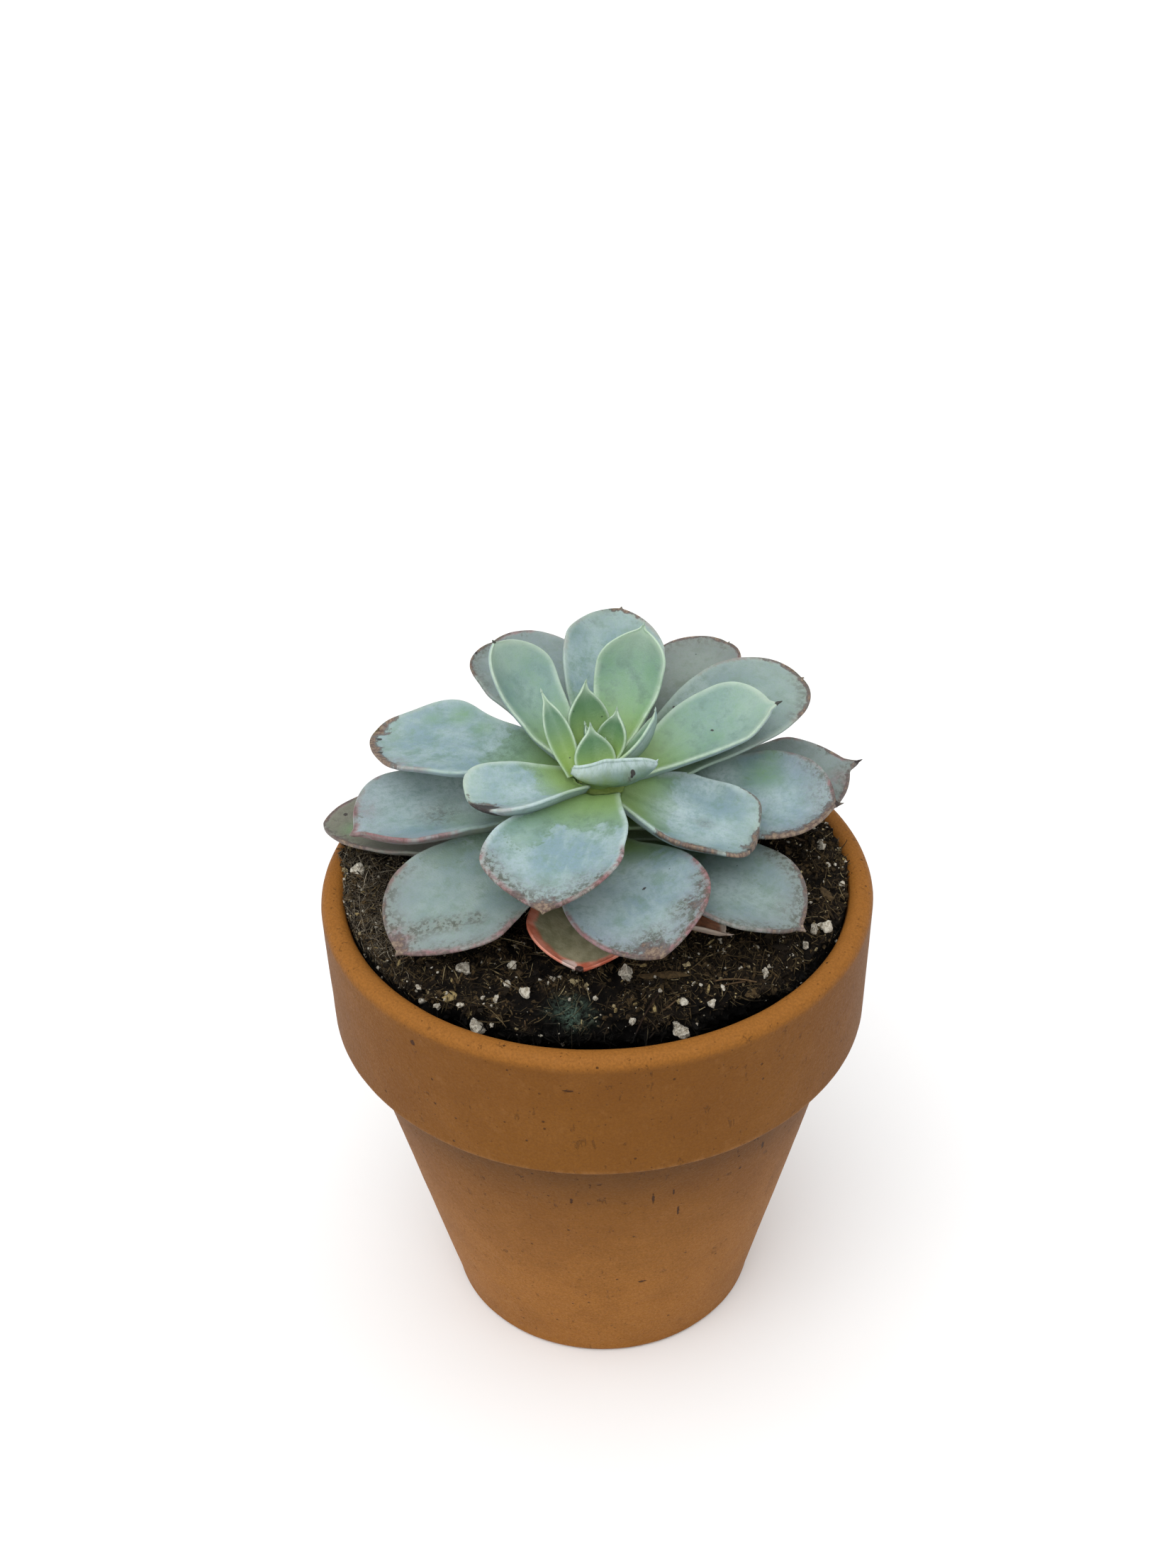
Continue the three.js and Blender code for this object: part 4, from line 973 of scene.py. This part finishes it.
def wall_inside(z):
    """The pot's inner radius at height z, with no limit above the lip."""
    radii = FLOOR_RADIUS, BODY_TOP - WALL, MOUTH_RADIUS
    straight = np.interp(z, [FLOOR, COLLAR_FOOT, LIP_FOOT], radii)
    rise = np.clip((z - LIP_FOOT) / LIP_ROUND, 0, 1)
    return np.where(z > POT_HEIGHT, 1e3, straight + LIP_ROUND * (1 - np.sqrt(1 - rise**2)))


# ---------------------------------------------------------------- soil
ALGAE = np.array([-5.4, -40.5, 102.5])
ALGAE_REACH = 4.4


def algae_at(points):
    gap = np.linalg.norm((points - ALGAE) * [0.8, 1, 0.6], axis=-1)
    near = 1 - smooth(0.2, 1.2, gap / ALGAE_REACH)
    return np.clip(near * (0.6 + rough(points, 3, 3, 77)), 0, 1)


def leaf_ceiling(leaves):
    """A function that gives the height of the lowest leaf skin over a point, or None."""
    parts = []
    for piece in leaves:
        mesh = piece.data
        spots = np.zeros(len(mesh.vertices) * 3, np.float32)
        mesh.vertices.foreach_get("co", spots)
        parts.append((spots.reshape(-1, 3) / MM, [face.vertices for face in mesh.polygons], {}))
    points, faces, _ = joined(parts)
    tree = BVHTree.FromPolygons(points.tolist(), faces)
    below, reach = 85, 40

    def ceiling(x, y):
        hit = tree.ray_cast(Vector((x, y, below)), Vector((0, 0, 1)), reach)[0]
        return hit.z if hit else None
    return ceiling


def rim_reach(points):
    """How far out the root ball may lie: over the lip at the back, well inside it in front."""
    y = points[..., 1]
    return 50.3 + 3.4 * smooth(-1, 12, y) - 1.9 * smooth(-8, -26, y)


def ball_top_at(x, share):
    """The root ball's top: highest near its rim, sunk towards the stem."""
    sunk = 3.5 * (1 - smooth(0.35, 0.72, share))
    edge = 1.6 * smooth(0.86, 1.0, share) ** 2
    return BALL_TOP - BALL_SLOPE * x - sunk - edge


def ridged(points, size, seed):
    """Noise from 0 to 1 with sharp valleys between rounded clods."""
    return np.abs(rough(points, size, 2, seed)) * 1.8


class Ground:
    """The soil's skin: rings of points, the cover that is 0 in its hollows, the leaves'
    ceiling above it, and the random draws for what lies on it."""

    def __init__(self, bed, cover, ceiling):
        self.bed, self.cover, self.ceiling = bed, cover, ceiling
        self.random = np.random.default_rng(5)


def soil_bed(ceiling):
    """The root ball and the loose soil below it, as one lumpy skin."""
    sides, crown, flank, fill = 600, 110, 44, 14
    seen = crown + flank + fill - 2
    ring = circle(sides)
    rings = []
    for share in np.linspace(0.012, 1, crown):
        spot = BALL_CENTRE + ring * BALL_RADIUS * share
        rings.append(np.column_stack([spot, ball_top_at(spot[:, 0], share)]))
    rim = rings[-1]
    for share in np.linspace(0, 1, flank + 1)[1:]:
        depth = share * (BALL_TOP - FILL_TOP)
        tuck = 1.0 + 0.008 * math.sin(share * 3) - 0.17 * smooth(0.25, 0.9, share)
        spot = BALL_CENTRE + (rim[:, :2] - BALL_CENTRE) * tuck
        rings.append(np.column_stack([spot, rim[:, 2] - depth]))

    def at_wall(z):
        return np.column_stack([ring * (wall_inside(z) - 0.4), np.full(sides, z)])

    low = rings[-1]
    for share in np.linspace(0, 1, fill)[1:]:
        rings.append(low + (at_wall(FILL_TOP) - low) * share)
    rings += [at_wall(z) for z in (75.0, 40.0, FLOOR + 0.3)]
    bed = np.array(rings)

    # Clods push the flank outwards and the rest up. The wall and the leaves limit them.
    clods = rough(bed, 12, 2, 1) * 1.5 + (ridged(bed, 5.0, 2) - 0.5) * 1.9
    clods = clods + (ridged(bed, 2.0, 4) - 0.5) * 1.1 + rough(bed, 0.9, 2, 7) * 0.4
    away = (bed - [*BALL_CENTRE, 0]) * [1, 1, 0]
    away = away / np.maximum(np.linalg.norm(away, axis=-1, keepdims=True), 1e-6)
    steep, free = np.zeros((len(bed), 1)), np.ones((len(bed), 1))
    steep[crown - 8:crown, 0] = np.linspace(0, 1, 8)
    steep[crown:crown + flank] = 1
    free[seen:] = 0
    bed = bed + away * (clods * steep * free)[..., None]
    bed[..., 2] += clods * (1 - 0.75 * steep) * free * 0.75
    reach = np.linalg.norm(bed[..., :2], axis=-1)
    limit = wall_inside(bed[..., 2] - 0.2) - 0.35
    ball = slice(crown + flank)
    limit[ball] = np.minimum(limit, rim_reach(bed) - 0.4)[ball]
    bed[..., :2] *= np.minimum(1, limit / np.maximum(reach, 1e-6))[..., None]
    for spot in bed[ball].reshape(-1, 3):
        top = ceiling(spot[0], spot[1])
        if top is not None:
            spot[2] = min(spot[2], top - 0.5)
    faces = flipped(skin_faces(len(bed), sides))
    return with_ends(bed), faces, Ground(bed[:seen], smooth(-1.5, 0.3, clods)[:seen], ceiling)


def surface_spots(ground, count, keep):
    """Random places on the soil's skin outside its hollows, with its direction there."""
    bed, cover, random = ground.bed, ground.cover, ground.random
    across = np.roll(bed, -1, 1) - bed
    down = np.diff(bed, axis=0)
    out = np.cross(down, across[:-1])
    area = np.linalg.norm(out, axis=-1)
    weight = (area * keep(bed[:-1]) * (0.12 + 0.88 * cover[:-1])).ravel()
    pick = random.choice(len(weight), count, p=weight / weight.sum())
    spot = np.divmod(pick, bed.shape[1])
    a, b = random.random((2, count, 1))
    place = bed[spot] + down[spot] * a + across[spot] * b
    face = unit(out[spot] + 1e-9)
    return place, np.where(face[:, 2:] < -0.2, -face, face)


def in_the_open(ground, bodies, gap=0.3):
    """Which bodies, of (body, point, xyz), lie below the leaves and clear of the wall."""
    reach = np.linalg.norm(bodies[..., :2], axis=-1)
    room = wall_inside(bodies[..., 2] - 0.15)
    good = (reach < room - 0.1).all(1) & (reach < rim_reach(bodies) + 0.4).all(1)
    for k in np.flatnonzero(good):
        for spot in bodies[k, :: max(1, bodies.shape[1] // 4)]:
            top = ground.ceiling(spot[0], spot[1])
            if top is not None and spot[2] > top - gap:
                good[k] = False
                break
    return good


def tangent_frame(face, random):
    """Two directions in the skin, the first one random, for each skin direction."""
    first = unit(np.cross(face, random.normal(size=face.shape)))
    return first, np.cross(face, first)


def mostly_above(points):
    return np.where(points[..., 2] > 93, 1.0, 0.15)


def at_left(points):
    """The left of the root ball, where fine pale roots show."""
    return mostly_above(points) * smooth(-34, -42, points[..., 0])


def repeated(faces, count, points):
    """The faces of count bodies of so many points, all alike."""
    faces = np.array(faces)
    faces = faces + np.arange(count)[:, None, None] * points
    return faces.reshape(-1, faces.shape[2]).tolist()


def between(ends, share):
    return ends[0] + (ends[1] - ends[0]) * share


def fibres(ground, count, length, thick, lift, keep=mostly_above):
    """Short curved threads that lie on the soil, each a three-sided tube."""
    rings, random = 6, ground.random
    place, face = surface_spots(ground, count, keep)
    run, side = tangent_frame(face, random)
    reach = length[0] * (length[1] / length[0]) ** (random.random((count, 1)) ** 1.6)
    width = between(thick, random.random((count, 1)) ** 2)
    tilt = lift * random.random((count, 1)) ** 2
    bend = (random.random((count, 1)) - 0.5) * 0.9 * reach
    points = []
    for t in np.linspace(-0.5, 0.5, rings):
        line = place + run * reach * t * np.cos(tilt) + side * bend * (t * t - 0.08)
        line = line + face * (reach * (t + 0.3) * np.sin(tilt) + 0.12)
        taper = width * (1 - 1.2 * t * t)
        for x, y in circle(3):
            points.append(line + side * taper * x / 2 + face * taper * y / 2)
    points = np.stack(points, 1)
    points = points[in_the_open(ground, points)]
    total, size = points.shape[:2]
    walls = [[k + s, k + n, k + 3 + n, k + 3 + s] for k in range(0, size - 3, 3)
             for s, n in ((0, 1), (1, 2), (2, 0))]
    caps = [[2, 1, 0], [size - 3, size - 2, size - 1]]
    faces = repeated(walls, total, size) + repeated(caps, total, size)
    return points.reshape(-1, 3), faces, {"tint": np.repeat(random.random(total), size)}


def finer(points, faces):
    """A ball of triangles with each one split in four."""
    points, seen, out = list(points), {}, []

    def halfway(a, b):
        key = (min(a, b), max(a, b))
        if key not in seen:
            seen[key] = len(points)
            points.append(unit((points[a] + points[b]) / 2))
        return seen[key]

    for a, b, c in faces:
        ab, bc, ca = halfway(a, b), halfway(b, c), halfway(c, a)
        out += [[a, ab, ca], [b, bc, ab], [c, ca, bc], [ab, bc, ca]]
    return np.array(points), np.array(out)


GOLD = (1 + 5**0.5) / 2
BALL_0 = (
    unit(np.array([[-1, GOLD, 0], [1, GOLD, 0], [-1, -GOLD, 0], [1, -GOLD, 0], [0, -1, GOLD],
                   [0, 1, GOLD], [0, -1, -GOLD], [0, 1, -GOLD], [GOLD, 0, -1], [GOLD, 0, 1],
                   [-GOLD, 0, -1], [-GOLD, 0, 1]])),
    np.array([[0, 11, 5], [0, 5, 1], [0, 1, 7], [0, 7, 10], [0, 10, 11], [1, 5, 9], [5, 11, 4],
              [11, 10, 2], [10, 7, 6], [7, 1, 8], [3, 9, 4], [3, 4, 2], [3, 2, 6], [3, 6, 8],
              [3, 8, 9], [4, 9, 5], [2, 4, 11], [6, 2, 10], [8, 6, 7], [9, 8, 1]]))
BALL_1 = finer(*BALL_0)
BALL_2 = finer(*BALL_1)
BALL_3 = finer(*BALL_2)


def turned(count, random):
    """Random rotations."""
    w, x, y, z = unit(random.normal(size=(count, 4))).T
    return np.stack([
        1 - 2 * (y * y + z * z), 2 * (x * y - z * w), 2 * (x * z + y * w),
        2 * (x * y + z * w), 1 - 2 * (x * x + z * z), 2 * (y * z - x * w),
        2 * (x * z - y * w), 2 * (y * z + x * w), 1 - 2 * (x * x + y * y)], -1).reshape(-1, 3, 3)


def lumps(place, radius, shape, spin, jag, random, ball, cuts):
    """Irregular grains: shape stretches each one, spin turns it, cuts chip its sides and
    jag roughens it."""
    knots, count = ball[0], len(place)
    body = np.repeat(knots[None], count, 0)
    for _ in range(cuts):
        side = unit(random.normal(size=(count, 1, 3)))
        depth = 0.42 + 0.4 * random.random((count, 1))
        body = body - side * np.maximum((body * side).sum(-1) - depth, 0)[..., None]
    seeds = random.random((count, 1, 3)) * 90
    uneven = 1 + jag * rough(knots[None] * 1.1 + seeds, 0.7, 3, 6)
    body = body * shape * uneven[..., None] * np.reshape(radius, (-1, 1, 1))
    return np.einsum("nij,nkj->nki", spin, body) + place[:, None]


def bodies_of(points, ball, tint):
    """The points, faces and values of grains made from a ball, with a tint for each."""
    count, size = points.shape[:2]
    return points.reshape(-1, 3), repeated(ball[1], count, size), {"tint": np.repeat(tint, size)}


def kept(ground, points, ball):
    points = points[in_the_open(ground, points)]
    return bodies_of(points, ball, ground.random.random(len(points)))


def grains_on(ground, count, sizes, squash, jag, ball=BALL_0, sink=0.3, cuts=4):
    """Chipped grains strewn over the soil's skin."""
    random = ground.random
    place, face = surface_spots(ground, count, mostly_above)
    radius = between(sizes, random.random(count) ** 2.4)
    place = place + face * (radius * (1 - 2 * sink))[:, None]
    shape = 1 - squash * random.random((count, 1, 3))
    spin = turned(count, random)
    return kept(ground, lumps(place, radius, shape, spin, jag, random, ball, cuts), ball)


def chips_on(ground, count, sizes, flat, slender, ball):
    """Flat or long bits of bark that lie on the soil, each a little askew."""
    random = ground.random
    place, face = surface_spots(ground, count, mostly_above)
    face = unit(face + random.normal(size=face.shape) * 0.45)
    spin = np.stack([*tangent_frame(face, random), face], -1)
    size = between(sizes, random.random(count) ** 2.2)
    narrow = between(slender, random.random((count, 1, 1)))
    shape = np.concatenate([np.ones_like(narrow), narrow, np.full_like(narrow, flat)], -1)
    place = place + face * (size * flat * 0.6 + 0.1)[:, None]
    return kept(ground, lumps(place, size, shape, spin, 0.6, random, ball, cuts=5), ball)


def seen_chips(random):
    """The larger bits of bark that the photo shows, each turned the way it lies there."""
    places, turns, sizes, tints = (np.array(column, float) for column in zip(*CHIPS))
    turn, lean = np.radians(turns.T)
    run = np.stack([np.cos(turn), np.sin(turn), 0 * turn], -1)
    rise = np.stack([-np.sin(turn) * np.cos(lean), np.cos(turn) * np.cos(lean), np.sin(lean)], -1)
    spin = np.stack([run, rise, np.cross(run, rise)], -1)
    ones = np.ones(len(CHIPS))
    points = lumps(places, ones, sizes[:, None], spin, 0.35, random, BALL_3, cuts=7)
    return bodies_of(points, BALL_3, tints)


def seen_perlite(random):
    """The larger perlite grains that the photo shows."""
    count = len(PERLITE)
    places, radii = (np.array(column, float) for column in zip(*PERLITE))
    shape = 1 - 0.35 * random.random((count, 1, 3))
    spin = turned(count, random)
    points = lumps(places, radii, shape, spin, 0.5, random, BALL_3, cuts=9)
    return bodies_of(points, BALL_3, random.random(count) * 0.3)


def scattered(name, parts, material, sharp=False):
    """One piece from several sets of (points, faces, values)."""
    points, faces, values = joined(parts)
    values["algae"] = algae_at(points)
    return solid(name, points, faces, material, values, sharp=sharp)


def soil(leaves):
    """The potting mix: peat bed, fibres, crumbs, bark, twigs and perlite."""
    points, faces, ground = soil_bed(leaf_ceiling(leaves))
    random, cover = ground.random, ground.cover
    hollow = np.zeros(len(points))
    hollow[:cover.size] = 1 - cover.ravel()
    solid("soil_peat", points, faces, peat_material(),
          {"algae": algae_at(points), "hollow": hollow}, ["soil"])
    scattered("soil_fibres", [
        fibres(ground, 14000, (0.9, 4.2), (0.12, 0.3), 0.8),
        fibres(ground, 1100, (3, 9), (0.14, 0.36), 0.9),
    ], litter_material("peat_fibre", (28, 21, 14), (104, 88, 60), (172, 156, 118)))
    scattered("soil_roots", [
        fibres(ground, 5000, (1.5, 6), (0.08, 0.17), 1, at_left),
    ], litter_material("root_hair", (70, 62, 50), (140, 130, 112), (190, 180, 160)))
    scattered("soil_twigs", [
        fibres(ground, 80, (4, 12), (0.35, 0.7), 0.35),
    ], litter_material("twig", (44, 31, 22), (112, 90, 64), (152, 130, 98)))
    scattered("soil_crumbs", [
        grains_on(ground, 12000, (0.16, 0.62), 0.6, 0.8),
        grains_on(ground, 600, (0.45, 1.05), 0.55, 0.9, BALL_1, cuts=6),
    ], litter_material("peat_crumb", (20, 15, 10), (86, 70, 46), (190, 174, 134)), sharp=True)
    scattered("soil_bark", [
        seen_chips(random),
        chips_on(ground, 100, (0.8, 2.1), 0.2, (0.3, 0.7), BALL_2),
        chips_on(ground, 6500, (0.35, 1.3), 0.2, (0.2, 0.6), BALL_0),
    ], litter_material("bark", (28, 21, 13), (86, 69, 44), (168, 148, 102)), sharp=True)
    scattered("soil_perlite", [
        seen_perlite(random),
        grains_on(ground, 110, (0.4, 0.95), 0.5, 0.8, BALL_2, sink=0.2, cuts=9),
        grains_on(ground, 1500, (0.16, 0.5), 0.6, 0.7, BALL_1, sink=0, cuts=7),
    ], perlite_material(), sharp=True)


# ---------------------------------------------------------------- plant
def grown_leaves():
    skins = {"leaf": leaf_material(), "old_leaf": old_leaf_material(),
             "dry_leaf": dry_leaf_material()}
    made = []
    for seed, form in enumerate(LEAVES):
        name, slot = form["name"], form["slot"]
        points, faces, values = leaf_skin(form, 0.55, seed)
        made.append(solid(name + "_skin", points, faces, skins[slot], values, [name]))
    return made


def heart():
    """The young leaves round the growing tip."""
    buds = [leaf_skin(form, 0.22, 60 + k) for k, form in enumerate(BUDS)]
    core = BALL_3[0] * HEART_RADIUS + HEART_CENTRE
    bare = {key: np.zeros(len(core)) for key in buds[0][2]}
    bare.update(youth=bare["youth"] + 1, along=bare["along"] + 0.3, rim=bare["rim"] + 3,
                leaf_at=core)
    points, faces, values = joined([(core, BALL_3[1].tolist(), bare), *buds])
    return solid("heart_skin", points, faces, leaf_material("young_leaf_skin"),
                 values, ["heart"])


def stem():
    """A thick short stem, uneven where leaves have come off, with a round top."""
    sides, rows = 72, 60
    axis = unit(STEM_TOP - STEM_FOOT)
    first = unit(np.cross(axis, [0, 1.0, 0]))
    ring = circle(sides) @ [first, np.cross(axis, first)]
    rings = []
    for share in np.linspace(0, 1, rows):
        radius = between(STEM_RADIUS, share)
        radius *= math.sqrt(max(1 - max((share - 0.93) / 0.07, 0) ** 2, 0.02))
        centre = between((STEM_FOOT, STEM_TOP), share)
        uneven = 1 + 0.05 * rough(ring * 5 + centre, 3, 3, 12)
        rings.append(centre + ring * radius * uneven[:, None])
    return solid("stem_skin", with_ends(np.array(rings)), skin_faces(rows, sides),
                 stem_material(), replaces=["stem"])


# ---------------------------------------------------------------- stage
EYE = np.array([-1.306, -336.99, 363.43])
LOOK_DOWN = math.radians(35.12)
TILT = 0.022
LENS, SENSOR = 48.82, 36


def camera():
    data = bpy.data.cameras.new("view")
    data.lens, data.sensor_width, data.sensor_fit = LENS, SENSOR, "AUTO"
    data.clip_start, data.clip_end = 0.01, 20
    ahead = Vector((0, math.cos(LOOK_DOWN), -math.sin(LOOK_DOWN)))
    right, down = Vector((1, 0, 0)), Vector((0, -math.sin(LOOK_DOWN), -math.cos(LOOK_DOWN)))
    across = right * math.cos(TILT) + down * math.sin(TILT)
    up = right * math.sin(TILT) - down * math.cos(TILT)
    item = placed("view", data)
    turn = Matrix((across, up, -ahead)).transposed().to_4x4()
    item.matrix_world = Matrix.Translation(Vector(EYE * MM)) @ turn
    bpy.context.scene.camera = item


def far_light(name, toward, width, strength):
    """Even light from a round patch of the sky of that many degrees."""
    data = bpy.data.lights.new(name, "SUN")
    data.energy, data.angle = strength, math.radians(width)
    item = placed(name, data)
    item.location = (0, 0, 1)
    item.rotation_euler = Vector(toward).to_track_quat("Z", "Y").to_euler()


def sky():
    """A white room: bright above and behind the object, dim at the level of its front."""
    s = Shader(bpy.data.worlds.new("studio"))
    toward = s.node("TexCoord", {}, "Generated")
    behind = s.step(s.node("SeparateXYZ", {0: toward}, "Y"), -1, 1, 0.02, 0.36, "LINEAR")
    above = s.step(s.node("SeparateXYZ", {0: toward}, "Z"), 0.15, 0.95, 0, 0.6, "LINEAR")
    background = s.tree.nodes["Background"].inputs
    s.plug(background["Strength"], behind + above)
    s.plug(background["Color"], (1, 1, 1, 1))
    bpy.context.scene.world = s.block


def stage():
    size = 6
    mesh = bpy.data.meshes.new("floor")
    corners = [(-size, -size, 0), (size, -size, 0), (size, size, 0), (-size, size, 0)]
    mesh.from_pydata(corners, [], [(0, 1, 2, 3)])
    mesh.materials.append(floor_material())
    floor = placed("floor", mesh)
    sky()
    far_light("ceiling", (-0.1, 0, 1), 80, 1)
    far_light("front_softbox", (-0.2, -0.8, 0.9), 60, 1.2)
    far_light("front_fill", (-0.3, -1, 0.35), 100, 0.7)
    far_light("left_softbox", (-1, -0.1, 0.6), 60, 0.42)
    far_light("right_softbox", (1, -0.1, 0.6), 60, 0.36)
    bpy.context.scene.view_settings.view_transform = "Standard"


camera()
stage()
pot()
stem()
plant_pieces = grown_leaves()
plant_pieces.append(heart())
soil(plant_pieces)
